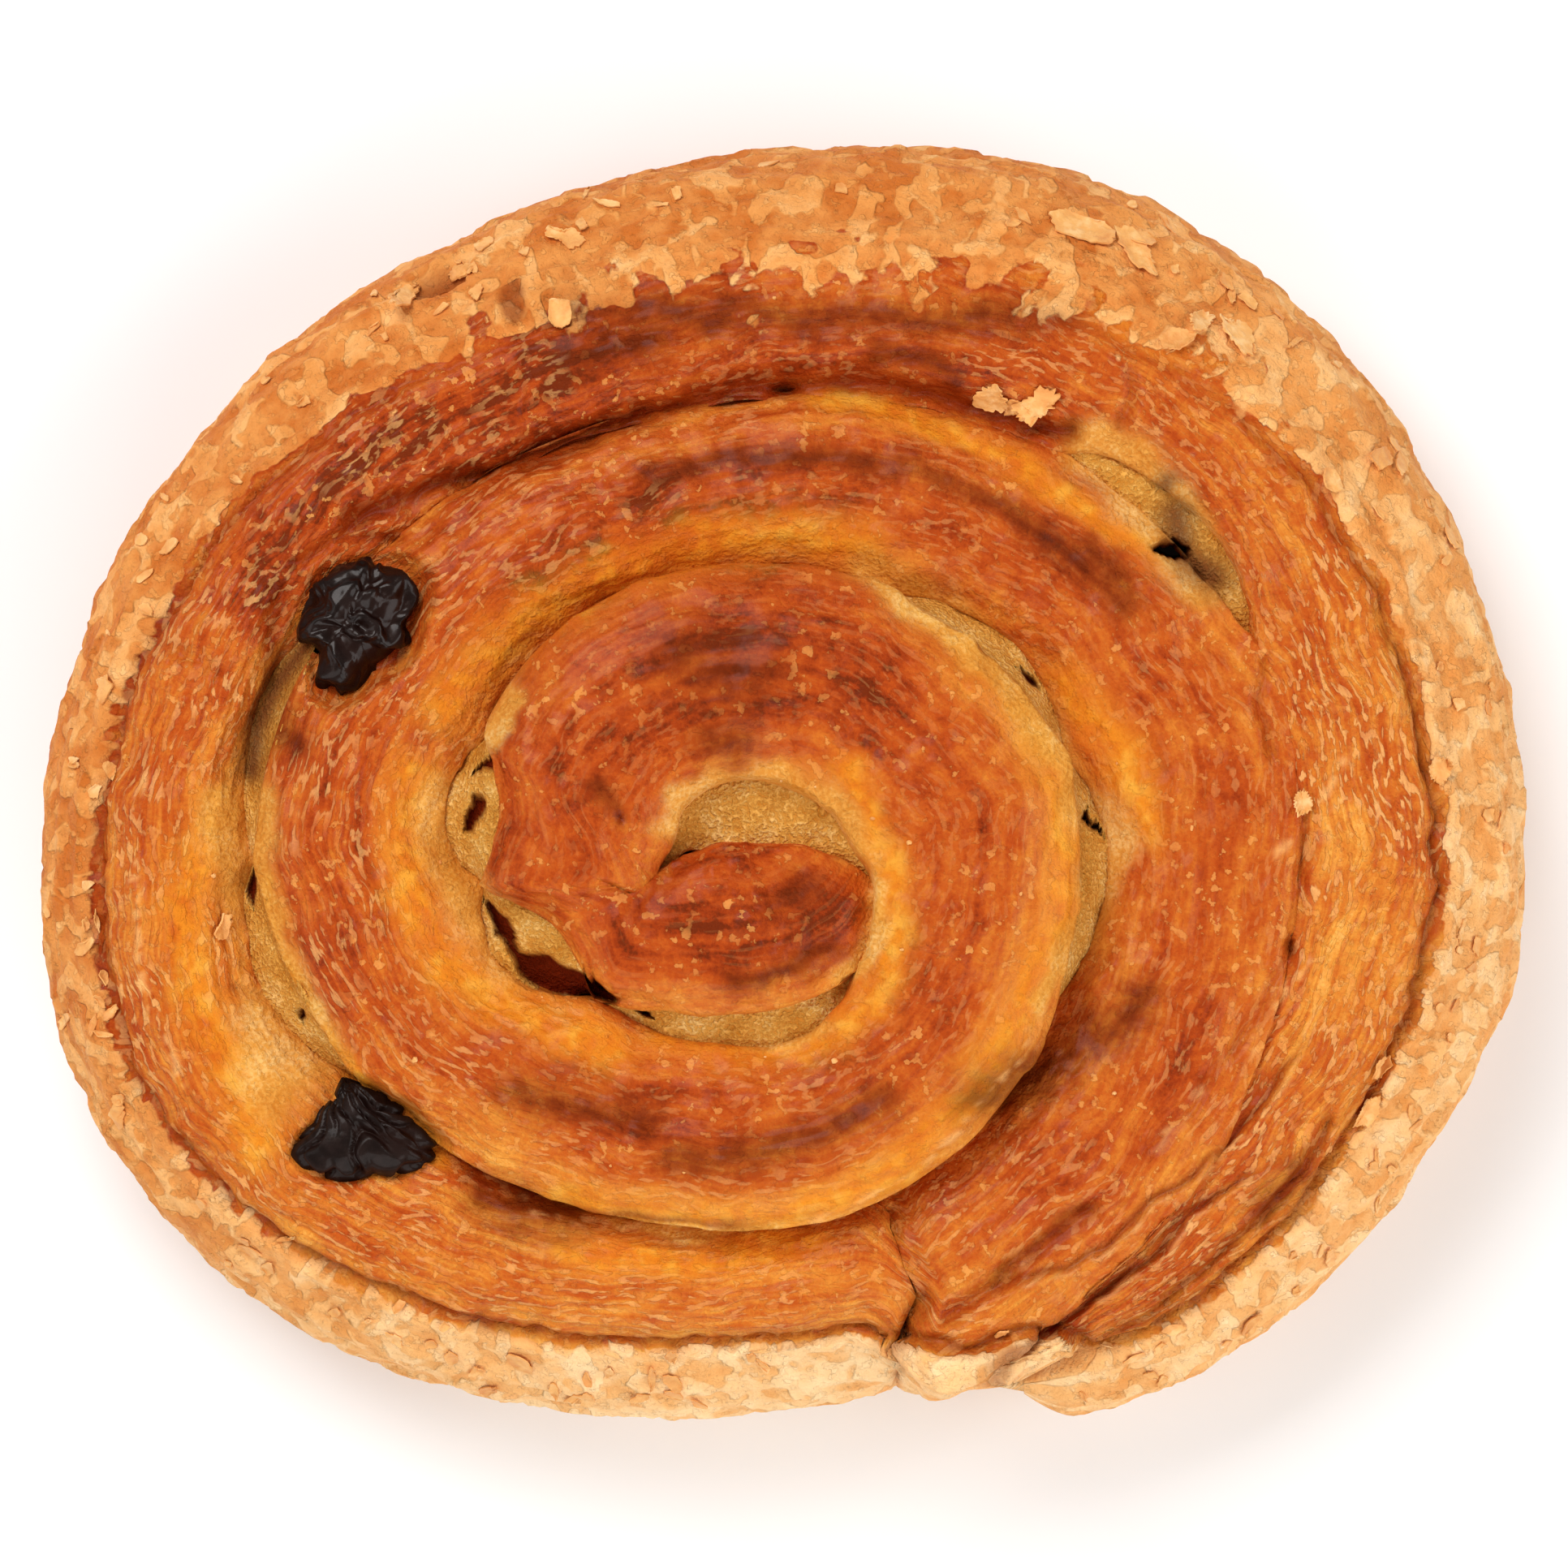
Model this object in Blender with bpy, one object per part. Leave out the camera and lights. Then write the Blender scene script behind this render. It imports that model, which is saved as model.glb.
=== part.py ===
"""Pain aux raisins: a slice of a rolled, laminated dough, laid flat and baked.

The dough is one long strip wound clockwise round itself from a short tongue in the middle to a
tail at the lower right edge. A wall of custard runs between its turns, and raisins sit in the
crease. Seen from above, +X is to the right and +Y is up; the flat base lies on z = 0.
"""

import math

import bmesh
import bpy
import numpy as np
from mathutils import Vector, noise

MM = 0.001

# The crease between the turns is a spiral of quarter ellipses. Each station is where the spiral
# reaches furthest left, up, right or down: x, y and the squareness of the quarter that ends there
# (2 is an ellipse). From station 11 on the spiral is the outer rim of the slice.
STATIONS = (
    (-9.7, -8.8, 2.0),
    (-3.6, -2.2, 2.0),
    (6.9, -8.1, 2.0),
    (-2.7, -18.0, 2.0),
    (-22.6, -2.8, 2.0),
    (-2.4, 15.4, 2.0),
    (21.7, -4.9, 2.0),
    (-2.4, -32.1, 2.0),
    (-38.4, -4.6, 2.0),
    (2.6, 28.3, 2.0),
    (37.2, -2.8, 2.0),
    (-7.5, -47.0, 2.15),
    (-55.0, -7.4, 2.15),
    (7.2, 47.0, 2.08),
    (55.0, -7.7, 2.1),
    (21.9, -46.6, 1.64),
)
TURN = 4.0  # stations in one turn
TONGUE_TIP = 2.0  # the strip starts here, with no width
TAIL_END = 15.0  # and ends here, with its inner edge at TAIL_SEAM
TAIL_SEAM = 10.72
RIM_BLEND = 0.10  # length of the change from crease wall to rim wall, in stations

# Heights of the dough at the crease or rim, one for each station, in mm.
EDGE_INSIDE = (27.0, 26.0, 26.0, 26.5, 27.5, 27.5, 27.0, 26.0, 24.5, 22.5, 22.0,
               21.5, 22.0, 22.5, 22.5, 20.0)
EDGE_OUTSIDE = (27.0, 27.0, 27.0, 24.5, 23.5, 23.5, 22.0, 21.0, 20.5, 23.5, 22.0,
                21.0, 21.0, 21.0, 21.0, 21.0)
# How far the crown of the turn that ends at each station stands above its edges.
CROWN = (2.0, 2.0, 2.0, 3.8, 3.8, 3.8, 3.6, 2.6, 2.8, 3.2, 2.8, 2.8, 2.6, 2.6, 2.4, 1.5)

# The crease. Half of its width in the depth, where the custard wall stands, and at the top,
# where the turns press together except at the pockets below.
HALF_GAP_DEEP = 0.95
HALF_GAP_CLOSED = 0.2
GAP_OPENS_OVER = 6.0  # depth of the change between the two
CUSTARD_CLEARANCE = 0.3
CUSTARD_HIDDEN_DEPTH = 7.5  # custard below the edges where the crease is closed
# Pockets where the crease stands open: place in stations, spread in stations, half width and
# depth of the custard below the edges, in mm.
POCKETS = (
    (1.1, 0.80, 2.2, 2.6),
    (2.9, 0.65, 1.2, 2.6),
    (3.62, 0.28, 2.4, 17.0),
    (4.02, 0.25, 2.0, 3.5),
    (5.55, 0.33, 2.0, 3.0),
    (6.05, 0.32, 2.2, 3.2),
    (7.80, 0.25, 2.6, 2.8),
    (8.15, 0.25, 1.8, 3.0),
    (9.55, 0.28, 2.7, 3.0),
)

# Side of the slice at its rim: how far in from the outline the crust is at each height.
RIM_PROFILE = ((2.6, 0.0), (0.9, 3.2), (0.0, 9.0), (0.5, 14.0), (2.2, 18.4), (5.6, 21.6))
CRUST_LUMPS = 0.7  # height of the lumps of the crust
LUMP_SIZE = 6.0
LIP_GROOVE = 0.8  # depth of the groove between the lip of the crust and the cut top
LIP_GROOVE_PLACE = 1.6  # how far in from the lip it runs, and its width
LIP_GROOVE_WIDTH = 1.1

SECTION_STEP = 4.2  # distance between sections of the strip
SECTIONS_A_QUARTER = 9  # and the fewest in one quarter
TOP_POINTS = 8
CROWN_SHARPNESS = 2.8

# The raisins: name, centre, half sizes along the raisin, across it and up, and its turn.
RAISINS = (
    ("raisin_upper", (-30.4, 11.1, 22.6), (5.3, 4.1, 2.7), 52.0),
    ("raisin_lower", (-29.8, -24.9, 22.4), (5.3, 3.7, 2.5), 4.0),
    ("raisin_notch", (28.2, 18.0, 17.6), (4.0, 3.0, 2.3), -60.0),
)
RAISIN_FIT = 1.12  # the dough is cut by the raisin made this much larger
RAISIN_WRINKLES = 0.4

# The crack across the last turn, from the crease to the rim: x, y, half width, lowest point.
CRACK = (
    (7.7, -29.2, 0.30, 20.5),
    (8.7, -33.5, 0.45, 18.5),
    (9.7, -36.2, 0.55, 16.0),
    (9.0, -38.8, 1.00, 14.0),
    (8.3, -41.9, 0.70, 13.0),
    (8.5, -48.5, 0.60, 9.5),
)
CRACK_TOP = 34.0


def quarter(k, samples=48):
    """Points of the spiral from station k to the next, evenly spaced along it."""
    (x0, y0, _), (x1, y1, squareness) = STATIONS[k], STATIONS[k + 1]
    angle = np.linspace(0.0, math.pi / 2, samples * 8)
    falling = np.abs(np.cos(angle)) ** (2 / squareness)
    rising = np.abs(np.sin(angle)) ** (2 / squareness)
    if k % 2 == 0:
        x, y = x1 + (x0 - x1) * falling, y0 + (y1 - y0) * rising
    else:
        x, y = x0 + (x1 - x0) * rising, y1 + (y0 - y1) * falling
    along = np.concatenate(([0.0], np.cumsum(np.hypot(np.diff(x), np.diff(y)))))
    even = np.linspace(0.0, along[-1], samples + 1)
    return np.column_stack((np.interp(even, along, x), np.interp(even, along, y)))


def spiral_table():
    """Station numbers, points and outward normals along the whole spiral."""
    quarters = [quarter(k) for k in range(len(STATIONS) - 1)]
    points = np.vstack([q[:-1] for q in quarters] + [quarters[-1][-1:]])
    stations = np.linspace(0.0, len(STATIONS) - 1, len(points))
    slope = np.gradient(points, axis=0)
    slope /= np.linalg.norm(slope, axis=1)[:, None]
    return stations, points, np.column_stack((-slope[:, 1], slope[:, 0]))


SPIRAL = spiral_table()


def spiral(t):
    """Point and outward normal of the spiral at station t."""
    stations, points, normals = SPIRAL
    point = np.array([np.interp(t, stations, points[:, i]) for i in range(2)])
    normal = np.array([np.interp(t, stations, normals[:, i]) for i in range(2)])
    return point, normal / np.linalg.norm(normal)


def smooth(x):
    x = min(1.0, max(0.0, x))
    return x * x * (3 - 2 * x)


def level(table, t):
    """A value listed for each station, with smooth steps between stations."""
    k = min(int(t), len(table) - 2)
    return table[k] + (table[k + 1] - table[k]) * smooth(t - k)


def crease_top(t):
    return min(level(EDGE_INSIDE, t), level(EDGE_OUTSIDE, t))


def pocket_share(t, pocket):
    return 1.0 - smooth(abs(t - pocket[0]) / pocket[1])


def half_gap(t, z):
    """Half the width of the crease at station t and height z."""
    start = smooth(t / 0.5)
    at_top = HALF_GAP_CLOSED + max(pocket_share(t, p) * (p[2] - HALF_GAP_CLOSED) for p in POCKETS)
    rise = smooth((z - crease_top(t)) / GAP_OPENS_OVER + 1.0)
    return start * (HALF_GAP_DEEP + (at_top - HALF_GAP_DEEP) * rise)


def custard_top(t):
    depth = CUSTARD_HIDDEN_DEPTH
    for pocket in POCKETS:
        depth += (pocket[3] - depth) * pocket_share(t, pocket)
    return crease_top(t) - depth


def rim_share(t):
    """0 where the outer wall of the strip faces another turn, 1 where it is the rim."""
    return smooth((t - TAIL_SEAM) / RIM_BLEND)


def inner_station(tau):
    """Station of the strip's inner edge where its outer edge is at station tau."""
    if tau <= TAIL_END - 1:
        return abs(tau - TURN)
    return TAIL_END - 1 - TURN + (tau - TAIL_END + 1) * (TAIL_SEAM - TAIL_END + 1 + TURN)


def lump(point):
    return noise.noise(Vector(point) / LUMP_SIZE) * CRUST_LUMPS


def outer_wall(tau):
    """Points of the strip's outer wall, from the base up to the edge of its top."""
    point, normal = spiral(tau)
    edge = level(EDGE_INSIDE, tau)
    top_of_profile = RIM_PROFILE[-1][1]
    rim = rim_share(tau)
    wall = []
    for inset, height in RIM_PROFILE:
        z = height * edge / top_of_profile
        x, y = point - normal * ((1 - rim) * half_gap(tau, z) + rim * inset)
        if 0 < height < top_of_profile:
            bulge = lump((x, y, z)) * rim
            x, y = x + normal[0] * bulge, y + normal[1] * bulge
        wall.append((x, y, z))
    return wall


def inner_wall(tau):
    """Points of the strip's inner wall, from the base up to the edge of its top."""
    t = inner_station(tau)
    point, normal = spiral(t)
    side = -1.0 if tau < TURN else 1.0
    edge = level(EDGE_INSIDE if tau < TURN else EDGE_OUTSIDE, t)
    wall = []
    for _, height in RIM_PROFILE:
        z = height * edge / RIM_PROFILE[-1][1]
        x, y = point + normal * side * half_gap(t, z)
        wall.append((x, y, z))
    return wall


def strip_section(tau):
    """One closed ring of the strip: outer wall, crowned top, inner wall and base."""
    outer, inner = outer_wall(tau), inner_wall(tau)
    a, b = Vector(outer[-1]), Vector(inner[-1])
    width = (b - a).to_2d().length
    crown = level(CROWN, tau) * min(1.0, width / 10.0)
    top = []
    for i in range(1, TOP_POINTS + 1):
        u = 0.5 - 0.5 * math.cos(math.pi * i / (TOP_POINTS + 1))
        p = a.lerp(b, u)
        groove = math.exp(-(((u * width - LIP_GROOVE_PLACE) / LIP_GROOVE_WIDTH) ** 2))
        p.z += crown * (1 - abs(2 * u - 1) ** CROWN_SHARPNESS) + lump(p)
        p.z -= LIP_GROOVE * groove * rim_share(tau)
        top.append(tuple(p))
    middle = tuple(Vector(inner[0]).lerp(Vector(outer[0]), 0.5))
    return outer + top + inner[::-1] + [middle]


def custard_section(t):
    """One closed ring of the custard wall, clear of the dough on both sides."""
    point, normal = spiral(t)
    top = custard_top(t)
    ring = []
    heights = (0.4, 0.5 * top, top - 1.2)
    for side in (-1.0, 1.0):
        column = []
        for z in heights:
            x, y = point + normal * side * (half_gap(t, z) - CUSTARD_CLEARANCE)
            column.append((x, y, z))
        x, y = point + normal * side * 0.6 * (half_gap(t, top) - CUSTARD_CLEARANCE)
        column.append((x, y, top - 0.2))
        ring += column if side < 0 else [(*point, top)] + column[::-1]
    return ring


def stations_between(first, last):
    """Station numbers from first to last, with more of them in the longer quarters."""
    found = [first]
    for k in range(int(first), math.ceil(last)):
        length = np.linalg.norm(np.diff(quarter(k), axis=0), axis=1).sum()
        count = max(SECTIONS_A_QUARTER, round(length / SECTION_STEP))
        found += [k + i / count for i in range(count) if first < k + i / count < last]
    return found + [last]


def material(name, colour, roughness):
    made = bpy.data.materials.new(name)
    made.use_nodes = True
    shader = made.node_tree.nodes["Principled BSDF"]
    shader.inputs["Base Color"].default_value = (*colour, 1.0)
    shader.inputs["Roughness"].default_value = roughness
    shader.inputs["Metallic"].default_value = 0.0
    return made


def add_object(name, bm, finish, collection):
    bmesh.ops.recalc_face_normals(bm, faces=bm.faces)
    mesh = bpy.data.meshes.new(name)
    bm.to_mesh(mesh)
    bm.free()
    obj = bpy.data.objects.new(name, mesh)
    collection.objects.link(obj)
    if finish:
        mesh.materials.append(finish)
    mesh.shade_smooth()
    mesh.set_sharp_from_angle(angle=math.radians(50))
    return obj


def loft(name, rings, finish, collection):
    """A grid bent into a tube through the rings, with its two ends closed."""
    bm = bmesh.new()
    around = len(rings[0])
    bmesh.ops.create_grid(bm, x_segments=around, y_segments=len(rings) - 1, size=1.0)
    bm.verts.ensure_lookup_table()
    for i, vert in enumerate(bm.verts):
        row, column = divmod(i, around + 1)
        vert.co = Vector(rings[row][column % around]) * MM
    bmesh.ops.remove_doubles(bm, verts=bm.verts, dist=0.00002)
    bmesh.ops.holes_fill(bm, edges=[e for e in bm.edges if e.is_boundary], sides=0)
    bmesh.ops.triangulate(bm, faces=[f for f in bm.faces if len(f.verts) > 4])
    return add_object(name, bm, finish, collection)


def raisin(name, place, half_sizes, turn, finish, collection, scale=1.0):
    """A shrivelled berry: a low sphere with a few folds that run along it."""
    bm = bmesh.new()
    bmesh.ops.create_uvsphere(bm, u_segments=12, v_segments=8, radius=1.0)
    angle = math.radians(turn)
    for vert in bm.verts:
        p = vert.co.copy()
        fold = noise.noise(p * 1.9 + Vector(place)) * RAISIN_WRINKLES
        p = Vector([p[i] * half_sizes[i] * (1 + fold * 0.4) * scale for i in range(3)])
        x = p.x * math.cos(angle) - p.y * math.sin(angle)
        y = p.x * math.sin(angle) + p.y * math.cos(angle)
        vert.co = (Vector((x, y, p.z)) + Vector(place)) * MM
    return add_object(name, bm, finish, collection)


def crack_cutter(collection):
    """A thin upright wedge along the crack."""
    rings = []
    for i, (x, y, half, low) in enumerate(CRACK):
        before, after = CRACK[max(i - 1, 0)], CRACK[min(i + 1, len(CRACK) - 1)]
        along = Vector((after[0] - before[0], after[1] - before[1])).normalized()
        side = Vector((-along.y, along.x)) * half
        rings.append([
            (x, y, low),
            (x + side.x, y + side.y, CRACK_TOP),
            (x - side.x, y - side.y, CRACK_TOP),
        ])
    return loft("crack_cutter", rings, None, collection)


def cut(obj, cutter):
    difference = obj.modifiers.new("cut_by_" + cutter.name, "BOOLEAN")
    difference.operation = "DIFFERENCE"
    difference.solver = "EXACT"
    difference.object = cutter
    cutter.hide_render = True
    cutter.display_type = "WIRE"


def collection(name):
    made = bpy.data.collections.new(name)
    bpy.context.scene.collection.children.link(made)
    return made


def build():
    for obj in list(bpy.data.objects):
        bpy.data.objects.remove(obj, do_unlink=True)
    parts, cutters = collection("pain_aux_raisins"), collection("cutters")
    baked = material("baked_dough", (0.55, 0.2, 0.04), 0.4)
    cream = material("custard", (0.6, 0.38, 0.12), 0.6)
    dried_grape = material("raisin", (0.012, 0.008, 0.007), 0.35)

    dough = loft("dough", [strip_section(t) for t in stations_between(TONGUE_TIP, TAIL_END)],
                 baked, parts)
    custard = loft("custard", [custard_section(t) for t in stations_between(0.35, 10.6)],
                   cream, parts)
    for name, place, half_sizes, turn in RAISINS:
        raisin(name, place, half_sizes, turn, dried_grape, parts)
        room = raisin(name + "_room", place, half_sizes, turn, None, cutters, RAISIN_FIT)
        cut(dough, room)
        cut(custard, room)
    cut(dough, crack_cutter(cutters))


build()
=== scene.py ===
# %% [markdown]
# # A pain aux raisins, dressed for its portrait
# The real thing is one long strip of laminated dough, rolled up with custard and raisins, cut
# across, laid flat and baked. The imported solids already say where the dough, the custard and each
# raisin are. This lesson gives them their looks: the shine of egg wash on the cut top, the pale
# flaky crust round the side, grainy custard in the creases and wrinkled raisins.
#
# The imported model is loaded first, as a frame that never moves. Its box is kept, because nothing
# that follows may stick out of it.

# %% Load the frame
import itertools
import math

import bpy
import numpy as np
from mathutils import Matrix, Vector
from mathutils.bvhtree import BVHTree


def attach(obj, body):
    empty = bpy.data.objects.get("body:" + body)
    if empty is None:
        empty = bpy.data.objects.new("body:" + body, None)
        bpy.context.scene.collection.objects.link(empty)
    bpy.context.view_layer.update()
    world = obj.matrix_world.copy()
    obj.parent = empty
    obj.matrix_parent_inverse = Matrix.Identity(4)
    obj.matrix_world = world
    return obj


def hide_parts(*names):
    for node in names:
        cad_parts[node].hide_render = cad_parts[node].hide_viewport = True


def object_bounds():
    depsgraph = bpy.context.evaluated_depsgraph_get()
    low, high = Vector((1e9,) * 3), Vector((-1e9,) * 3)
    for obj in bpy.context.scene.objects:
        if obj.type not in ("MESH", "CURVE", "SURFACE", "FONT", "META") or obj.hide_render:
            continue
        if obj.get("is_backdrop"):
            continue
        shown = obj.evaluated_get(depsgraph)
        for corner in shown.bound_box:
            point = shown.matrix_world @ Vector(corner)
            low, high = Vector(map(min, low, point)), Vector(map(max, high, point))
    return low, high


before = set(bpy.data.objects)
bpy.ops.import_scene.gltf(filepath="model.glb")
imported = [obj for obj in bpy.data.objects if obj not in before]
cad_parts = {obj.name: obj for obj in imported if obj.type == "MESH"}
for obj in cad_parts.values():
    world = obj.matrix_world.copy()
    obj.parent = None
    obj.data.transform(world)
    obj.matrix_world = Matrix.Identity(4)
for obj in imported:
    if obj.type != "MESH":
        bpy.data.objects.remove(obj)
CAD_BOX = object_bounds()
bpy.ops.object.select_all(action="DESELECT")
print("nodes:", sorted(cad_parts))
print("box, mm:", [round((high - low) * 1000, 1) for low, high in zip(*CAD_BOX)])

# %% [markdown]
# ## Places read from the photograph
# The photograph looks straight down, so one scale turns its pixels into millimetres. The roll in
# the middle stands higher, nearer the camera, and shows slightly larger than the rim, but the
# difference stays under a millimetre. All the modelling below is done in millimetres, and turned
# into metres when a mesh is made.

# %% Pixels to millimetres
MM = 0.001
PHOTO_SIDE = 1932  # pixels
PIXELS_A_MM = 16.64
PHOTO_ORIGIN = (965.5, 962.5)  # the pixel over the origin of the frame


def at(pixel):
    """A place in millimetres, for a pixel of the photograph or an array of them."""
    pixel = np.asarray(pixel, float)
    x = (pixel[..., 0] - PHOTO_ORIGIN[0]) / PIXELS_A_MM
    y = (PHOTO_ORIGIN[1] - pixel[..., 1]) / PIXELS_A_MM
    return np.stack((x, y), axis=-1)


print("the burnt spot is at", at((870, 820)).round(1), "mm")

# %% [markdown]
# ## Camera, floor and light
# The camera hangs straight above with a long lens, so that the sides of the slice hardly show, as
# in the photograph. A long lens is chosen over an orthographic camera because the picture was
# taken with a real one. The floor is plain and pale. The light is soft and comes from all round,
# with the strongest box at the upper left, so that each fold throws a small shadow.

# %% Camera
LENS = 200.0  # mm
SENSOR = 36.0  # mm
FOCUS_HEIGHT = 12.0  # mm, the height at which the pixel scale is true


def add_camera():
    """A camera whose frame is the whole photograph at the height of focus."""
    data = bpy.data.cameras.new("camera")
    data.lens, data.sensor_width = LENS, SENSOR
    camera = bpy.data.objects.new("camera", data)
    bpy.context.scene.collection.objects.link(camera)
    centre = at((PHOTO_SIDE / 2, PHOTO_SIDE / 2))
    distance = PHOTO_SIDE / PIXELS_A_MM * LENS / SENSOR
    camera.location = Vector((*centre, FOCUS_HEIGHT + distance)) * MM
    bpy.context.scene.camera = camera
    print("camera height, mm:", round(camera.location.z / MM))


add_camera()

# %% Floor and softboxes
FLOOR_SIZE = 3.0  # metres
FLOOR_DROP = 0.0001  # metres, so that floor and flat base don't share a plane
FLOOR_COLOUR, FLOOR_ROUGHNESS = (0.90, 0.90, 0.90), 0.7
SKY = 0.20  # strength of the light from all round
# name: azimuth, elevation, side in metres, power in watts; azimuth 0 is near, 90 the right
SOFTBOXES = {
    "key": (212, 52, 0.45, 4.6),
    "fill_right": (80, 36, 0.55, 3.0),
    "fill_near": (5, 34, 0.60, 2.8),
    "fill_left": (285, 35, 0.50, 1.2),
}
SOFTBOX_DISTANCE = 0.75  # metres


def plain_material(name, colour, roughness):
    """A material of one colour; patterns may be linked to its shader later."""
    material = bpy.data.materials.new(name)
    material.use_nodes = True
    shader = material.node_tree.nodes["Principled BSDF"]
    shader.inputs["Base Color"].default_value = (*colour, 1.0)
    shader.inputs["Roughness"].default_value = roughness
    return material


def add_softbox(name, azimuth, elevation, side, power):
    """A square lamp that looks at the middle of the pastry from one direction."""
    data = bpy.data.lights.new(name, "AREA")
    data.size, data.energy = side, power
    light = bpy.data.objects.new(name, data)
    bpy.context.scene.collection.objects.link(light)
    a, e = math.radians(azimuth), math.radians(elevation)
    back = Vector((math.sin(a) * math.cos(e), -math.cos(a) * math.cos(e), math.sin(e)))
    light.location = back * SOFTBOX_DISTANCE
    light.rotation_euler = back.to_track_quat("Z", "Y").to_euler()


bpy.ops.mesh.primitive_plane_add(size=FLOOR_SIZE, location=(0, 0, -FLOOR_DROP))
floor = bpy.context.object
floor.name = "floor"
floor.data.materials.append(plain_material("floor", FLOOR_COLOUR, FLOOR_ROUGHNESS))
floor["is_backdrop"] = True
for name, settings in SOFTBOXES.items():
    add_softbox(name, *settings)
world = bpy.data.worlds.new("world")
world.use_nodes = True
sky = world.node_tree.nodes["Background"]
sky.inputs["Color"].default_value = (1.0, 1.0, 1.0, 1.0)
sky.inputs["Strength"].default_value = SKY
bpy.context.scene.world = world
bpy.context.scene.view_settings.view_transform = "Standard"
print(len(SOFTBOXES), "softboxes")

# %% [markdown]
# ## Noise for dough
# Baked dough has no straight line in it. Blender's own noise works on one point at a time, which
# is slow for hundreds of thousands of points, so the same gradient noise is written here for
# whole arrays. The gradients come from a seeded draw, so every run gives the same pastry.

# %% Gradient noise on arrays
NOISE_TABLE = 4096
_draw = np.random.default_rng(7)
GRADIENTS = _draw.normal(size=(NOISE_TABLE, 3))
GRADIENTS /= np.linalg.norm(GRADIENTS, axis=1)[:, None]
HASH_FACTORS = (73856093, 19349663, 83492791)
SEED_FACTOR = 2654435
NOISE_GAIN = 1.7  # brings the noise to about -1 to 1


def ease(x, low=0.0, high=1.0):
    """0 below low, 1 above high, and a smooth step between."""
    x = np.clip((x - low) / (high - low), 0.0, 1.0)
    return x * x * (3 - 2 * x)


def noise(points, size, seed=0):
    """Smooth noise, about -1 to 1, whose lumps are size across. points end in x, y, z."""
    scaled = np.asarray(points, float) / size
    cell = np.floor(scaled).astype(np.int64)
    part = scaled - cell
    fade = part * part * part * (part * (part * 6 - 15) + 10)
    total = np.zeros(part.shape[:-1])
    for corner in itertools.product((0, 1), repeat=3):
        index = sum((cell[..., i] + corner[i]) * HASH_FACTORS[i] for i in range(3))
        gradient = GRADIENTS[(index ^ (seed * SEED_FACTOR)) % NOISE_TABLE]
        weight = np.prod(np.where(corner, fade, 1 - fade), axis=-1)
        total += weight * ((part - corner) * gradient).sum(-1)
    return total * NOISE_GAIN


def rough(points, size, seed=0, octaves=3):
    """Noise with finer noise on top of it."""
    return sum(noise(points, size / 2**k, seed + k) / 2**k for k in range(octaves))


_sample = rough(_draw.uniform(-50, 50, (4000, 3)), 5.0)
print("noise spread:", np.percentile(_sample, (1, 50, 99)).round(2))

# %% [markdown]
# ## The spiral
# Between two turns of the strip runs a crease, and seen from above the crease is a spiral. It is
# built of quarter ellipses that join where the spiral reaches furthest left, up, right or down.
# These places are the spiral's stations, and a place along it is given as a station number, so
# that 5.5 is half way between stations 5 and 6. A formula was chosen over a drawn curve because
# the dough, the custard and every mark on them can then ask it for a point.

# %% Stations of the spiral
# x, y and the squareness of the quarter that ends there; 2 is an ellipse
STATIONS = (
    (-9.7, -8.8, 2.0),
    (-3.6, -2.2, 2.0),
    (6.9, -8.1, 2.0),
    (-2.7, -18.0, 2.0),
    (-22.6, -2.8, 2.0),
    (-2.4, 15.4, 2.0),
    (21.7, -4.9, 2.0),
    (-2.4, -32.1, 2.0),
    (-38.4, -4.6, 2.0),
    (2.6, 28.3, 2.0),
    (37.2, -2.8, 2.0),
    (-7.5, -47.0, 2.15),
    (-55.0, -7.4, 2.15),
    (7.2, 47.0, 2.08),
    (55.0, -7.7, 2.1),
    (21.9, -46.6, 1.64),
)
TURN = 4.0  # stations in one turn
TONGUE_TIP = 2.0
TAIL_END = 15.0
TAIL_SEAM = 10.72  # from here on the spiral is the outline of the pastry
RIM_BLEND = 0.10  # stations over which a crease turns into the rim


def running_length(points):
    """How far along its row of points each point lies."""
    steps = np.linalg.norm(np.diff(points, axis=-2), axis=-1)
    start = np.zeros((*steps.shape[:-1], 1))
    return np.concatenate((start, np.cumsum(steps, axis=-1)), axis=-1)


def quarter(k, samples=96):
    """Points of the spiral from station k to the next, evenly spaced along it."""
    (x0, y0, _), (x1, y1, squareness) = STATIONS[k], STATIONS[k + 1]
    angle = np.linspace(0.0, math.pi / 2, samples * 8)
    falling = np.abs(np.cos(angle)) ** (2 / squareness)
    rising = np.abs(np.sin(angle)) ** (2 / squareness)
    if k % 2 == 0:
        x, y = x1 + (x0 - x1) * falling, y0 + (y1 - y0) * rising
    else:
        x, y = x0 + (x1 - x0) * rising, y1 + (y0 - y1) * falling
    along = running_length(np.column_stack((x, y)))
    even = np.linspace(0.0, along[-1], samples + 1)
    return np.column_stack((np.interp(even, along, x), np.interp(even, along, y)))


print("the last quarter ends at", quarter(len(STATIONS) - 2)[-1].round(1), "mm")

# %% The spiral as one curve
def spiral_table():
    """Stations, points, outward normals and lengths along the spiral, as rows of one table."""
    quarters = [quarter(k) for k in range(len(STATIONS) - 1)]
    points = np.vstack([q[:-1] for q in quarters] + [quarters[-1][-1:]])
    stations = np.linspace(0.0, len(STATIONS) - 1, len(points))
    slope = np.gradient(points, axis=0)
    step = np.linalg.norm(slope, axis=1)
    slope /= step[:, None]
    return stations, points, np.column_stack((-slope[:, 1], slope[:, 0])), np.cumsum(step)


SPIRAL = spiral_table()


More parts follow.
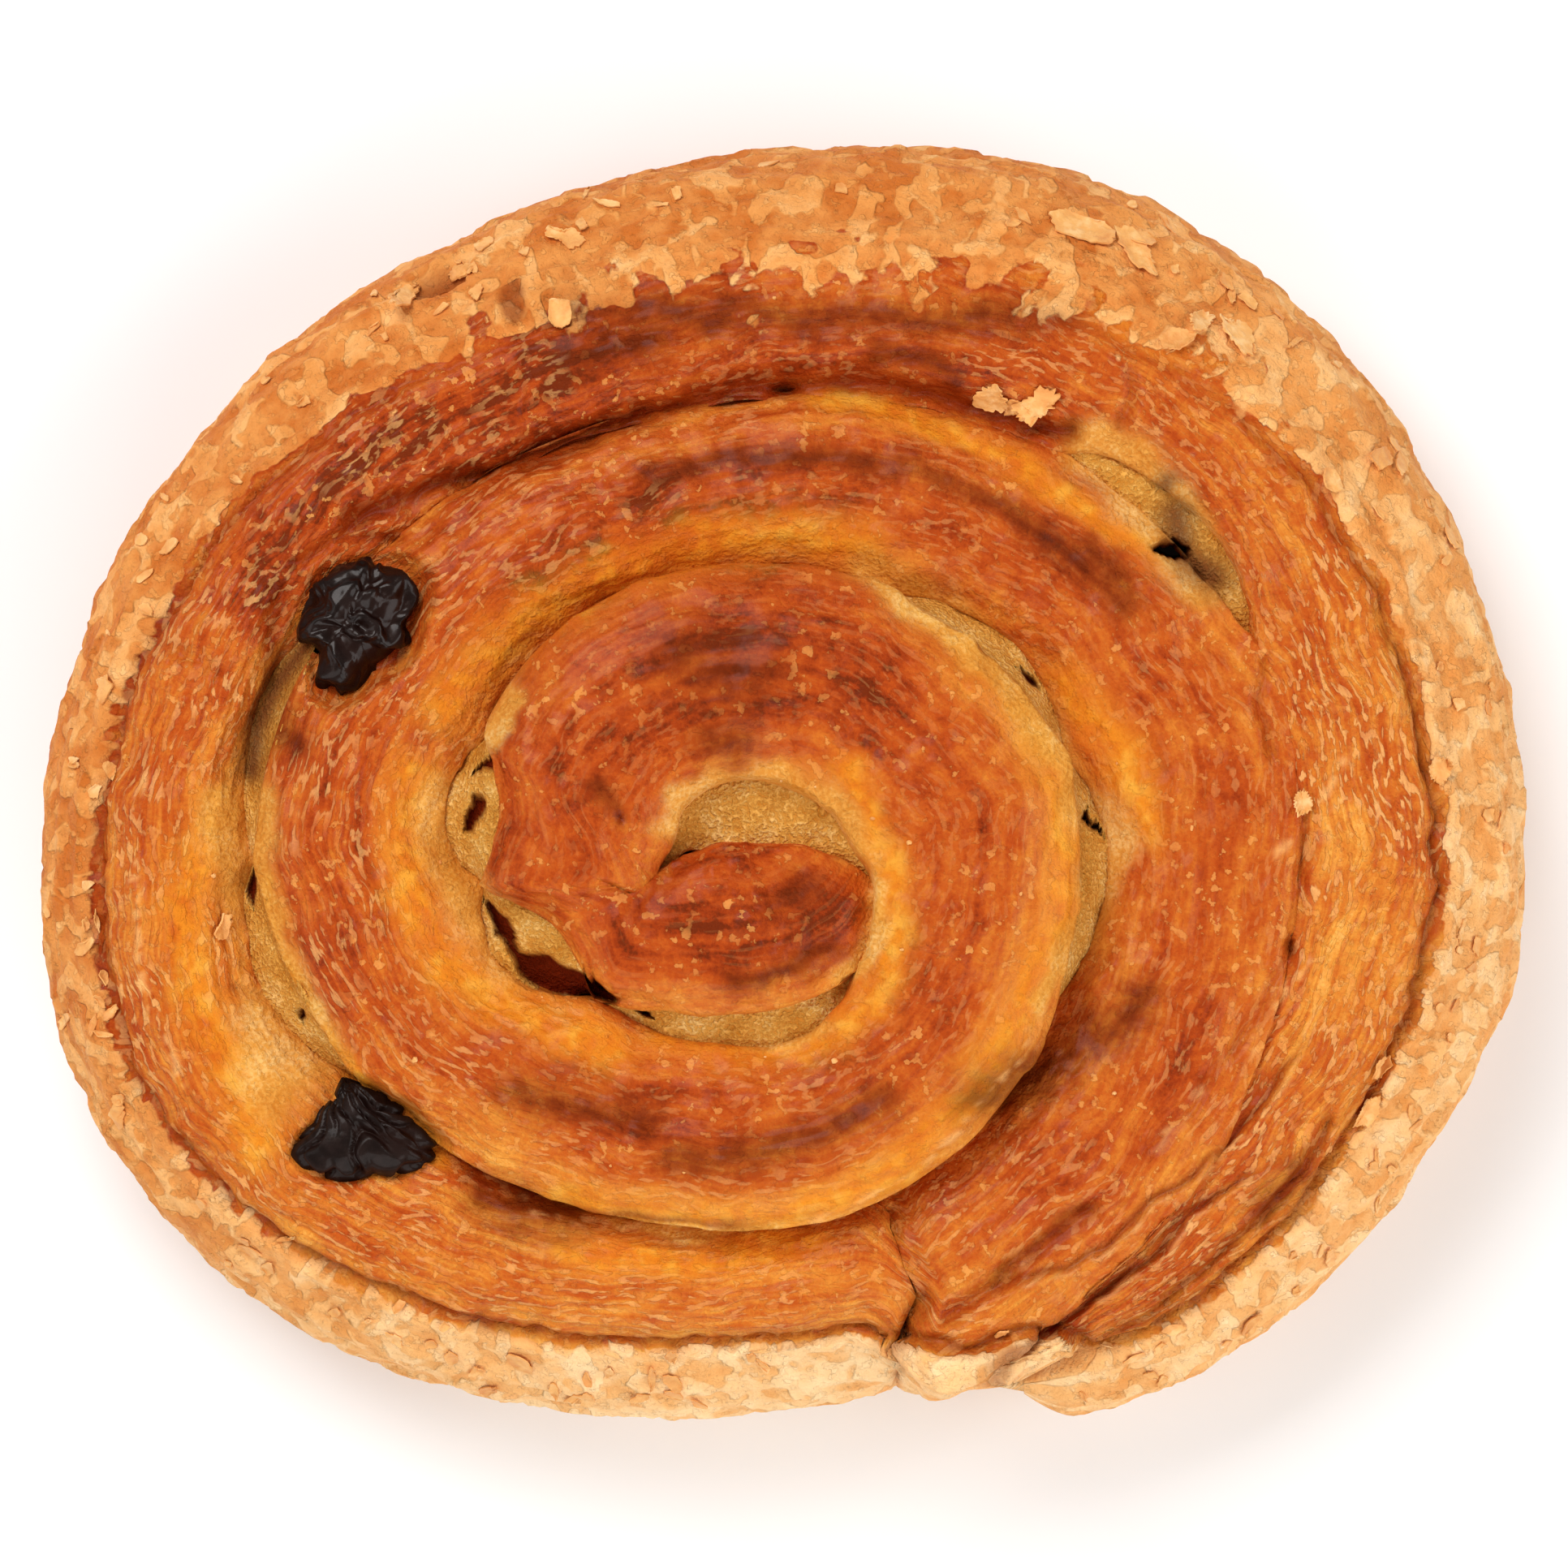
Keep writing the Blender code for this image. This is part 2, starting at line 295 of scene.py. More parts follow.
def spiral(t):
    """Points and outward normals of the spiral at an array of stations."""
    stations, points, normals, _ = SPIRAL
    point = np.stack([np.interp(t, stations, points[:, i]) for i in (0, 1)], axis=-1)
    normal = np.stack([np.interp(t, stations, normals[:, i]) for i in (0, 1)], axis=-1)
    return point, normal / np.linalg.norm(normal, axis=-1, keepdims=True)


def spiral_length(t):
    """Length in mm of the spiral from its start to stations t."""
    return np.interp(t, SPIRAL[0], SPIRAL[3])


print("the spiral is", round(float(spiral_length(TAIL_END))), "mm long")

# %% [markdown]
# ## Heights of the turns
# The roll stands highest in the middle and steps down to the rim. Each station has a height for
# the dough on the inside and on the outside of the crease, and one for the crown between them.
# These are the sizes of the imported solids, so that what is drawn here fits them.

# %% Heights and the crease
EDGE_INSIDE = (27.0, 26.0, 26.0, 26.5, 27.5, 27.5, 27.0, 26.0, 24.5, 22.5, 22.0,
               21.5, 22.0, 22.5, 22.5, 20.0)
EDGE_OUTSIDE = (27.0, 27.0, 27.0, 24.5, 23.5, 23.5, 22.0, 21.0, 20.5, 23.5, 22.0,
                21.0, 21.0, 21.0, 21.0, 21.0)
CROWN = (2.0, 2.0, 2.0, 3.8, 3.8, 3.8, 3.6, 2.6, 2.8, 3.2, 2.8, 2.8, 2.6, 2.6, 2.4, 1.5)
CROWN_SHARPNESS = 2.8
HALF_GAP_DEEP = 0.95  # mm, half the width of the crease inside the pastry
HALF_GAP_CLOSED = 0.2  # mm, at the top, where no pocket opens
GAP_OPENS_OVER = 6.0  # mm of height between the one and the other
GAP_STARTS_OVER = 0.5  # stations, at the start of the spiral
CUSTARD_HIDDEN_DEPTH = 7.5  # mm under the top, where no pocket opens
# the pockets, where the crease stands open: place and spread in stations, half width in mm
POCKETS = ((1.1, 0.80, 2.2), (2.9, 0.65, 1.2), (3.62, 0.28, 2.4), (4.02, 0.25, 2.0),
           (5.55, 0.33, 2.0), (6.05, 0.32, 2.2), (7.80, 0.25, 2.6), (8.15, 0.25, 1.8),
           (9.55, 0.28, 2.7))
# how far in from the outline the rim's wall lies, and at what height
RIM_PROFILE = ((2.6, 0.0), (0.9, 3.2), (0.0, 9.0), (0.5, 14.0), (2.2, 18.4), (5.6, 21.6))


def level(table, t):
    """Values listed for each station, with smooth steps between stations."""
    table = np.asarray(table)
    k = np.clip(np.asarray(t).astype(int), 0, len(table) - 2)
    return table[k] + (table[k + 1] - table[k]) * ease(t - k)


def crease_top(t):
    """Height of the lower of the two edges at the crease."""
    return np.minimum(level(EDGE_INSIDE, t), level(EDGE_OUTSIDE, t))


def pocket_share(t, pocket):
    """How far a pocket stands open at stations t, 0 to 1."""
    return 1.0 - ease(np.abs(t - pocket[0]) / pocket[1])


def half_gap(t, z):
    """Half the width of the crease at stations t and heights z."""
    at_top = np.full(np.shape(t), HALF_GAP_CLOSED)
    for pocket in POCKETS:
        wider = HALF_GAP_CLOSED + pocket_share(t, pocket) * (pocket[2] - HALF_GAP_CLOSED)
        at_top = np.maximum(at_top, wider)
    rise = ease((z - crease_top(t)) / GAP_OPENS_OVER + 1.0)
    return ease(t / GAP_STARTS_OVER) * (HALF_GAP_DEEP + (at_top - HALF_GAP_DEEP) * rise)


print("crease top at stations 0, 5, 10:", crease_top(np.array([0.0, 5.0, 10.0])))

# %% [markdown]
# ## Sections across the strip
# A section of the strip is a closed ring: up the outer wall, over the crowned top, down the inner
# wall and back under the base. The columns of the ring lie closer together where more shows: on
# the top and on the shoulder of the crust. Every column keeps its distance across the strip, which
# later serves as one axis of the UV map, the length along the strip being the other.

# %% Columns of a section
OUTER, TOP, INNER, BASE = range(4)  # the parts of a ring
WALL_LOW, WALL_HIGH = 9, 25  # columns on the outer wall, under and over its widest place
PRESS = 0.40  # how far two dressed turns press into each other
# the dressed turns leave less of a pocket open than the solids, past the first few stations
POCKET_PART_INSIDE, POCKET_PART_OUTSIDE = 0.12, 0.8
POCKET_OPEN_TO = 4.1
# how far the groove over the crease is filled, where the turns have baked together
GROOVE_FILL = (0.6, 0.6, 0.7, 0.5, 0.2, 0.2, 0.2, 0.0, 0.1, 0.0, 0.85, 0.85, 0, 0, 0, 0)
TOP_OUT, TOP_IN = 34, 28  # columns on the outer and the inner half of the top
TONGUE_END = 3.9  # the station where the tongue's upper edge ends
TONGUE_MIDDLE = (-1.2, -4.2)  # mm, of that edge
TONGUE_ROUNDING = 2.0  # mm
FULL_CROWN_WIDTH = 10.0  # mm; a narrower strip has a lower crown
INNER_COLUMNS = 9
BASE_COLUMNS = 4


def catmull(points, samples):
    """Points on a smooth curve through the given ones, at parameters from 0 to 1."""
    points = np.asarray(points, float)
    padded = np.vstack((2 * points[0] - points[1], points, 2 * points[-1] - points[-2]))
    place = np.clip(samples, 0, 1) * (len(points) - 1)
    k = np.minimum(place.astype(int), len(points) - 2)
    f = (place - k)[:, None]
    a, b, c, d = (padded[k + i] for i in range(4))
    return b + 0.5 * f * (c - a + f * (2 * a - 5 * b + 4 * c - d + f * (3 * (b - c) + d - a)))


print("columns on the top:", TOP_OUT + TOP_IN - 2)

# %% Walls of the strip
def inner_station(tau):
    """Station of the strip's inner edge where its outer edge is at station tau."""
    tail = TAIL_END - 1 - TURN + (tau - TAIL_END + 1) * (TAIL_SEAM - TAIL_END + 1 + TURN)
    return np.where(tau <= TAIL_END - 1, np.abs(tau - TURN), tail)


def rim_share(t):
    """0 where the strip ends at a crease and 1 where it ends at the rim."""
    return ease((t - TAIL_SEAM) / RIM_BLEND)


def wall_profile():
    """The rim's profile at each column of the outer wall."""
    low = np.linspace(0.0, 0.4, WALL_LOW, endpoint=False)
    high = np.linspace(0.4, 1.0, WALL_HIGH)
    return catmull(RIM_PROFILE, np.concatenate((low, high)))


def shown_share(t):
    """How far the custard of some pocket comes to the surface at stations t, 0 to 1."""
    return np.max([pocket_share(t, pocket) for pocket in POCKETS], axis=0)


def dough_gap(t, z, part=1.0):
    """Half the gap between dressed turns, which press into each other where no custard shows."""
    shown = ease(shown_share(t), 0.0, 0.5)
    return half_gap(t, z) * part * shown - PRESS * (1 - shown)


def open_part(t, later):
    """Share of a pocket that stays open on one side of the crease."""
    return 1 + (later - 1) * ease(t, POCKET_OPEN_TO, POCKET_OPEN_TO + 0.4)


def outer_wall(tau):
    """Rows of points up the outer wall of the strip."""
    point, normal = (a[:, None, :] for a in spiral(tau))
    inset, height = wall_profile().T
    z = height * (level(EDGE_INSIDE, tau) / RIM_PROFILE[-1][1])[:, None]
    rim = rim_share(tau)[:, None]
    part = open_part(tau, POCKET_PART_INSIDE)[:, None]
    back = (1 - rim) * dough_gap(tau[:, None], z, part) + rim * inset
    return np.concatenate((point - normal * back[..., None], z[..., None]), axis=-1)


def inner_wall(tau):
    """Rows of points up the inner wall of the strip."""
    t = inner_station(tau)
    point, normal = (a[:, None, :] for a in spiral(t))
    side = np.where(tau < TURN, -1.0, 1.0)[:, None]
    edge = np.where(tau < TURN, level(EDGE_INSIDE, t), level(EDGE_OUTSIDE, t))
    z = np.linspace(0.0, 1.0, INNER_COLUMNS) * edge[:, None]
    part = open_part(t, POCKET_PART_OUTSIDE)[:, None]
    out = side * dough_gap(t[:, None], z, part)
    return np.concatenate((point + normal * out[..., None], z[..., None]), axis=-1)


print("rim profile, mm:", wall_profile()[::8].round(1).tolist())

# %% The bare strip
def top_columns():
    """How far across the top each of its columns is, from 0 outside to 1 inside."""
    out = 0.5 * np.linspace(0.0, 1.0, TOP_OUT, endpoint=False) ** 1.25
    return np.concatenate((out, np.linspace(0.5, 1.0, TOP_IN)))[1:-1]


def round_tongue(xy):
    """Rounds the two corners of the tongue's upper edge by drawing them down."""
    x, y = xy[..., 0] - TONGUE_MIDDLE[0], xy[..., 1] - TONGUE_MIDDLE[1]
    corner = ease(np.abs(x), 2.0, 8.0) * (1 - ease(np.abs(x), 8.0, 11.0))
    near = ease(y, -4.5, 0.0) * (1 - ease(y, 0.4, 1.6))
    return xy - np.stack((0 * x, TONGUE_ROUNDING * corner * near), axis=-1)


def strip(tau):
    """Rings of the bare strip at stations tau: points, share across the top, and part of ring."""
    outer, inner = outer_wall(tau), inner_wall(tau)
    tongue = (tau < TONGUE_END)[:, None, None]
    inner[..., :2] = np.where(tongue, round_tongue(inner[..., :2]), inner[..., :2])
    a, b = outer[:, -1:, :], inner[:, -1:, :]
    u = top_columns()[None, :, None]
    top = a + (b - a) * u
    width = np.linalg.norm((b - a)[..., :2], axis=-1)
    crown = level(CROWN, tau)[:, None] * np.minimum(1.0, width / FULL_CROWN_WIDTH)
    fill_out = level(GROOVE_FILL, tau)[:, None] * (1 - rim_share(tau)[:, None])
    fill = np.where(u[..., 0] < 0.5, fill_out, level(GROOVE_FILL, inner_station(tau))[:, None])
    top[..., 2] += crown * (1 - (1 - fill) * np.abs(2 * u[..., 0] - 1) ** CROWN_SHARPNESS)
    share = np.linspace(0.0, 1.0, BASE_COLUMNS + 2)[None, 1:-1, None]
    base = inner[:, :1, :] + (outer[:, :1, :] - inner[:, :1, :]) * share
    rings = np.concatenate((outer, top, inner[:, ::-1, :], base), axis=1)
    counts = [outer.shape[1], top.shape[1], inner.shape[1], BASE_COLUMNS]
    u = np.concatenate((np.zeros(counts[0]), u.ravel(), np.ones(counts[2] + counts[3])))
    part = np.repeat((OUTER, TOP, INNER, BASE), counts)
    return rings, np.broadcast_to(u, rings.shape[:2]), np.broadcast_to(part, rings.shape[:2])


_rings, _, _ = strip(np.array([3.0, 9.0, 14.0]))
print(_rings.shape[1], "columns; heights of three turns, mm:", _rings[..., 2].max(1).round(1))

# %% [markdown]
# ## A brush for marks
# Folds, grooves, golden flanks and burnt spots are all laid on like brush strokes: a short path of
# places read from the photograph, and a width. The brush answers, for every point of the mesh, how
# much of the stroke it gets. One brush for all marks keeps shape and colour in step, since a
# groove is both lower and darker, its darkness being painted shade.

# %% The brush
def path_distance(xy, path):
    """Distance in mm from points to a path of pixels, and how far left of it they lie."""
    corners = at(path)
    if len(corners) == 1:
        return np.linalg.norm(xy - corners[0], axis=-1), np.zeros(xy.shape[:-1])
    best = np.full(xy.shape[:-1], 1e9)
    left = np.zeros(xy.shape[:-1])
    for a, b in zip(corners[:-1], corners[1:]):
        run = b - a
        share = np.clip(((xy - a) @ run) / (run @ run), 0.0, 1.0)
        away = xy - a - share[..., None] * run
        distance = np.linalg.norm(away, axis=-1)
        nearer = distance < best
        side = (run[0] * away[..., 1] - run[1] * away[..., 0]) / np.linalg.norm(run)
        best = np.where(nearer, distance, best)
        left = np.where(nearer, side, left)
    return best, left


def brush(xy, path, width):
    """1 on the path, fading to nothing about two widths away."""
    return np.exp(-((path_distance(xy, path)[0] / width) ** 2))


def inside_of(xy, outline):
    """1 inside a closed outline of pixels and 0 outside it, soft over a quarter of a mm."""
    corners = at(outline)
    crossings = np.zeros(xy.shape[:-1], int)
    x, y = xy[..., 0], xy[..., 1]
    for a, b in zip(corners, np.roll(corners, -1, axis=0)):
        spans = (a[1] > y) != (b[1] > y)
        rise = b[1] - a[1] if abs(b[1] - a[1]) > 1e-9 else 1e-9
        crossings += spans & (x < a[0] + (y - a[1]) / rise * (b[0] - a[0]))
    distance = path_distance(xy, list(outline) + [outline[0]])[0]
    return 1 - ease(distance * np.where(crossings % 2 == 1, -1, 1), -0.15, 0.10)


print("brush at one width:", brush(at((1000, 900)) + [2.0, 0.0], [(1000, 900)], 2.0).round(2))

# %% [markdown]
# ## What the photograph shows, and where
# Each kind of mark has its own list of strokes: places where the dough stayed golden, where custard
# has soaked into it, where it burnt, and where it is folded or cracked. Paths are pixels of the
# photograph, and widths are millimetres.

# %% Strokes of colour
GOLD = (
    ([(1120, 740), (1215, 830), (1275, 920), (1302, 1010), (1300, 1110), (1262, 1215)], 1.7),
    ([(1262, 1215), (1190, 1345), (1085, 1440), (960, 1488), (840, 1490), (700, 1465)], 1.9),
    ([(1310, 850), (1380, 930), (1400, 1010)], 2.4),
    ([(285, 1000), (240, 1110), (255, 1230), (320, 1340), (330, 1400)], 2.7),
    ([(560, 870), (650, 770), (740, 720), (850, 680), (960, 660), (1060, 680)], 2.6),
    ([(515, 960), (510, 1090), (555, 1185), (650, 1245), (760, 1285)], 2.3),
    ([(1000, 503), (1100, 514), (1200, 552), (1280, 600), (1380, 670), (1470, 700)], 1.3),
    ([(820, 1265), (900, 1288), (1000, 1278), (1070, 1235), (1098, 1150), (1090, 1060)], 2.0),
    ([(1040, 950), (1075, 1010), (1090, 1090)], 1.6),
    ([(1350, 345), (1450, 400), (1380, 370)], 3.6),
    ([(340, 1080), (345, 1170), (400, 1260), (470, 1350), (560, 1420)], 1.0),
    ([(700, 1535), (850, 1545), (1000, 1520)], 1.6),
)
CREAM = (
    ([(835, 1020), (850, 985), (900, 968), (965, 962), (1015, 990), (1055, 1040)], 1.9),
    ([(1075, 1080), (1082, 1130), (1040, 1200)], 1.0),
    ([(850, 1262), (930, 1278), (1010, 1255)], 1.3),
    ([(1060, 705), (1130, 740), (1190, 790), (1250, 860), (1290, 930)], 2.1),
    ([(1335, 990), (1365, 1040), (1340, 1100), (1305, 1180)], 1.9),
    ([(545, 985), (560, 1050), (590, 1110), (640, 1190)], 2.3),
    ([(600, 930), (640, 860)], 1.2),
    ([(285, 1000), (300, 1060), (320, 1120)], 2.3),
    ([(335, 985), (330, 1060), (345, 1140), (375, 1220), (405, 1290)], 1.6),
    ([(340, 1250), (350, 1330), (390, 1290)], 3.2),
    ([(1225, 815), (1275, 880), (1305, 960), (1335, 1010)], 1.5),
    ([(1340, 560), (1410, 640), (1480, 720)], 2.6),
    ([(1330, 560), (1400, 580), (1430, 620), (1470, 690)], 2.6),
    ([(760, 1492), (850, 1505), (950, 1500)], 1.1),
    ([(1270, 1235), (1285, 1200)], 1.0),
)
BURNT_AND_SHADE = (
    ([(850, 815), (915, 830)], 2.8),
    ([(880, 915), (920, 915)], 1.5),
    ([(960, 1105), (1000, 1095)], 1.6),
    ([(905, 1203), (960, 1192), (1025, 1165)], 1.0),
    ([(690, 390), (900, 400), (1120, 405), (1300, 400)], 1.4),
    ([(720, 440), (800, 430)], 2.0),
    ([(1080, 450), (1150, 462), (1170, 480)], 1.1),
    ([(800, 600), (900, 575), (1000, 570), (1130, 590), (1250, 640), (1370, 740)], 1.0),
    ([(1200, 1340), (1300, 1300), (1400, 1230)], 1.9),
    # this stroke darkens the groove on the same path: painted shade, not browning
    ([(1330, 1480), (1270, 1530), (1220, 1565)], 0.6),
    ([(1590, 1430), (1550, 1480)], 1.2),
    ([(640, 1490), (700, 1500), (600, 1470)], 1.6),
    ([(830, 1420), (960, 1400), (1080, 1350)], 1.4),
    ([(640, 1340), (800, 1370)], 1.5),
    ([(740, 970), (770, 1010)], 0.7),
    ([(350, 880), (375, 915)], 1.4),
    ([(1380, 740), (1330, 690)], 1.5),
)
STAIN = (
    ([(388, 796), (350, 845), (326, 900), (320, 950)], 1.0),
    ([(1440, 640), (1450, 690), (1485, 715)], 1.5),
    ([(1430, 600)], 0.9),
)
print(len(GOLD), "golden,", len(CREAM), "creamy and", len(BURNT_AND_SHADE), "burnt strokes")

# %% [markdown]
# Folds and grooves have a depth as well. A groove is a plain furrow. A fold is a step, like the
# edge of a sheet lying on the one below: the dough on the left of its path is raised, with painted
# shadow at its foot and a painted highlight along its edge.

# %% Strokes of shape
# path, width and depth; a deeper groove also gets more painted shade
GROOVES = (
    ([(1597, 1008), (1591, 1066), (1589, 1115), (1577, 1172), (1542, 1241), (1505, 1290),
      (1444, 1372), (1404, 1411)], 0.5, 0.5),
    ([(1335, 1481), (1282, 1522), (1224, 1566), (1160, 1610)], 0.7, 0.8),
    ([(1385, 470), (1384, 500), (1372, 533)], 0.4, 0.6),
    ([(700, 310), (712, 370), (718, 420)], 0.25, 0.4),
    ([(650, 450), (652, 520), (690, 545)], 0.25, 0.4),
    ([(355, 735), (345, 790), (350, 850), (330, 900)], 0.9, 0.9),
    ([(372, 700), (430, 668), (500, 672)], 0.6, 0.7),
    ([(440, 648), (500, 622), (560, 598), (640, 577), (706, 552), (773, 527), (870, 497),
      (966, 481)], 0.8, 1.3),
    ([(966, 481), (1060, 478), (1133, 492), (1200, 510), (1260, 533), (1310, 540)], 0.8, 1.5),
    ([(870, 480), (1000, 465), (1120, 455)], 0.6, 0.5),
    ([(1545, 820), (1540, 870), (1555, 930)], 0.4, 0.6),
    ([(755, 420), (1000, 415), (1180, 425)], 0.6, 0.35),
    ([(280, 830), (230, 800), (190, 790)], 0.5, 0.5),
    ([(300, 1212), (345, 1232), (380, 1225)], 0.3, 0.4),
    ([(796, 1112), (820, 1085), (845, 1055)], 1.0, 0.8),
    ([(1262, 1735), (1256, 1705), (1268, 1684), (1298, 1664)], 0.35, 0.6),
    ([(1298, 1664), (1363, 1636), (1445, 1583), (1502, 1530), (1551, 1485), (1592, 1432),
      (1629, 1375)], 0.5, 0.9),
    ([(1104, 1650), (1106, 1715)], 0.25, 0.8),
    ([(1098, 1484), (1103, 1515), (1124, 1560), (1135, 1588)], 0.35, 0.5),
    ([(1135, 1588), (1118, 1622), (1105, 1645)], 0.75, 1.0),
    ([(1108, 1500), (1150, 1560), (1180, 1600)], 0.8, 0.35),
)
FOLDS = (
    ([(1571, 1322), (1522, 1391), (1461, 1444), (1412, 1473), (1375, 1517), (1322, 1550),
      (1261, 1566)], 0.7, 0.7),
    ([(1518, 1452), (1453, 1493), (1428, 1534), (1363, 1579), (1302, 1624),
      (1240, 1660)], 0.6, 0.6),
    ([(900, 1500), (700, 1485), (600, 1440)], 0.5, 0.3),
)
# pixel, half width, half length, turn in degrees, depth
PITS = (
    ((1578, 1163), 0.5, 0.9, 10, 0.7),
    ((545, 350), 1.0, 2.6, -62, 1.6),
    ((640, 385), 1.2, 1.8, 0, 0.5),
    ((770, 1005), 0.3, 0.4, 0, 0.5),
    ((1200, 800), 0.35, 1.0, 40, 0.8),
)
# holes torn in the custard: outline, depth in the custard and depth in the dough beside it
HOLES = (
    ([(602, 1104), (615, 1111), (627, 1123), (641, 1142), (642, 1157), (650, 1170), (663, 1172),
      (683, 1170), (695, 1183), (722, 1194), (747, 1205), (758, 1217), (770, 1225), (757, 1230),
      (740, 1224), (722, 1225), (693, 1221), (672, 1215), (655, 1204), (643, 1190), (637, 1172),
      (628, 1157), (618, 1147), (612, 1127)], 2.0, 5.0),
    ([(782, 1231), (793, 1235), (808, 1247), (795, 1245)], 2.5, 0.0),
    ([(580, 1020), (582, 1007), (585, 995), (593, 990), (590, 980), (604, 980), (608, 987),
      (605, 1002), (595, 1013), (587, 1026)], 1.5, 0.0),
    ([(590, 953), (600, 942), (612, 934), (627, 931), (620, 948), (606, 949)], 1.3, 0.0),
    ([(644, 862), (637, 880), (640, 892), (633, 900), (628, 896), (634, 872)], 1.3, 0.0),
    ([(1142, 774), (1160, 780), (1176, 793), (1190, 808), (1198, 828), (1184, 816), (1170, 801),
      (1155, 787)], 1.4, 0.0),
    ([(1248, 825), (1263, 832), (1279, 852), (1268, 849), (1258, 838)], 1.6, 0.0),
    ([(1324, 1008), (1332, 996), (1331, 1007), (1346, 1016), (1354, 1029), (1344, 1024),
      (1333, 1014)], 2.5, 0.0),
    ([(322, 1066), (327, 1080), (326, 1100), (323, 1116), (316, 1108), (315, 1090)], 1.5, 0.0),
    ([(381, 1236), (388, 1244), (384, 1254), (377, 1246)], 1.4, 0.0),
    ([(1408, 680), (1425, 675), (1440, 670), (1456, 678), (1455, 692), (1440, 693), (1424, 689)],
     4.0, 5.0),
    ([(965, 708), (990, 708), (1030, 728), (1000, 722)], 1.5, 0.0),
)
# ridges where the edge of a layer stands up pale: path and width
PALE_RIDGES = (
    ([(197, 920), (190, 1000), (182, 1050), (180, 1117), (185, 1153), (193, 1220), (210, 1253),
      (227, 1293), (237, 1327)], 0.32),
    ([(1560, 1050), (1610, 1000), (1640, 940)], 0.3),
    ([(1530, 1290), (1562, 1230), (1600, 1180)], 0.3),
    ([(1470, 1335), (1440, 1375), (1400, 1420)], 0.3),
    ([(880, 1497), (760, 1500), (660, 1482)], 0.35),
    ([(1000, 1497), (1120, 1440), (1215, 1340), (1262, 1255)], 0.3),
)
print(len(GROOVES), "grooves,", len(FOLDS), "folds,", len(PITS), "pits,", len(HOLES), "holes")

# %% [markdown]
# ## Where the raisins lie
# Two raisins lie on the creases at the left. They are needed before the dough is made, because
# it is dented under them. Each has its own outline, read point by point from the photograph.

# %% Places of the raisins
# node: pixels round its outline, height of its middle, half its thickness, pixel of its stalk end
RAISINS = {
    "raisin_upper": (((452, 690), (508, 694), (529, 722), (521, 770), (512, 805), (470, 835),
                      (425, 862), (400, 850), (392, 815), (376, 790), (384, 752), (408, 712)),
                     23.2, 2.9, (430, 850)),
    "raisin_lower": (((430, 1318), (458, 1330), (490, 1348), (525, 1375), (552, 1400), (545, 1420),
                      (515, 1438), (470, 1440), (420, 1446), (385, 1435), (367, 1415), (395, 1375),
                      (418, 1345)), 23.0, 2.6, (433, 1322)),
}


def outline_reach(angle, outline):
    """How far a closed outline reaches from its middle, at an array of angles."""
    points = at(outline)
    middle = points.mean(0)
    arms = points - middle
    bearings = np.unwrap(np.arctan2(arms[:, 1], arms[:, 0]))
    order = np.argsort(bearings % (2 * math.pi))
    bearings, reach = (bearings % (2 * math.pi))[order], np.linalg.norm(arms, axis=1)[order]
    return np.interp(angle % (2 * math.pi), bearings, reach, period=2 * math.pi), middle


def raisin_distance(xy, outline):
    """Distance from a raisin's middle as a share of its reach: 1 is on its outline."""
    middle = at(outline).mean(0)
    away = xy - middle
    reach, _ = outline_reach(np.arctan2(away[..., 1], away[..., 0]), outline)
    return np.linalg.norm(away, axis=-1) / reach


print("raisins:", list(RAISINS))

# %% [markdown]
# ## How far each turn is baked
# Dough goes from cream through gold and orange to dark brown as it bakes, so one number, its
# browning, gives most of its colour. The tables hold it for the outer edge, the middle and the
# inner edge of the strip at each station: the tops of the folds caught the heat, and the flanks
# beside the custard stayed golden.

# %% Browning, crust and lamination
BAKE_OUTSIDE = (0.5, 0.5, 0.5, 0.35, 0.75, 0.70, 0.30, 0.30, 0.70, 0.55, 0.55,
                0.42, 0.60, 0.35, 0.46, 0.45)
BAKE_MIDDLE = (0.6, 0.6, 0.6, 0.85, 0.72, 0.88, 0.72, 0.72, 0.66, 0.80, 0.68,
               0.55, 0.64, 0.70, 0.52, 0.70)
BAKE_INSIDE = (0.6, 0.6, 0.6, 0.75, 0.55, 0.55, 0.50, 0.60, 0.42, 0.58, 0.50,
               0.66, 0.36, 0.88, 0.62, 0.65)
# how brown the bare crust is, from station 10 on
TOAST = (0.2, 0.0, 0.96, 0.96, 0.35, 0.2)
# how plainly the layers show on the cut top
LAYERED = (0.1, 0.1, 0.1, 0.1, 0.15, 0.15, 0.2, 0.4, 0.75, 0.3, 0.3, 0.7, 0.9, 0.4, 1.0, 0.9)
# how far in from the outline the crust reaches, from station 10 on, and how clear its line is
LIP_PLACE = (5.5, 5.6, 4.0, 12.0, 7.2, 4.6)
LIP_CLEAR = (1.0, 1.0, 1.0, 0.0, 1.0, 1.0)
TAIL_CRUST = [(1110, 1718), (1200, 1730), (1275, 1706)]  # outline of the strip's very end
TAIL_CRUST_WIDTH = 4.4


def across_bake(tau, u):
    """Browning across the strip, from its three tables."""
    outside, middle, inside = (level(t, tau) for t in (BAKE_OUTSIDE, BAKE_MIDDLE, BAKE_INSIDE))
    outer_half = outside + (middle - outside) * ease(u * 2)
    return np.where(u < 0.5, outer_half, middle + (inside - middle) * ease(u * 2 - 1))


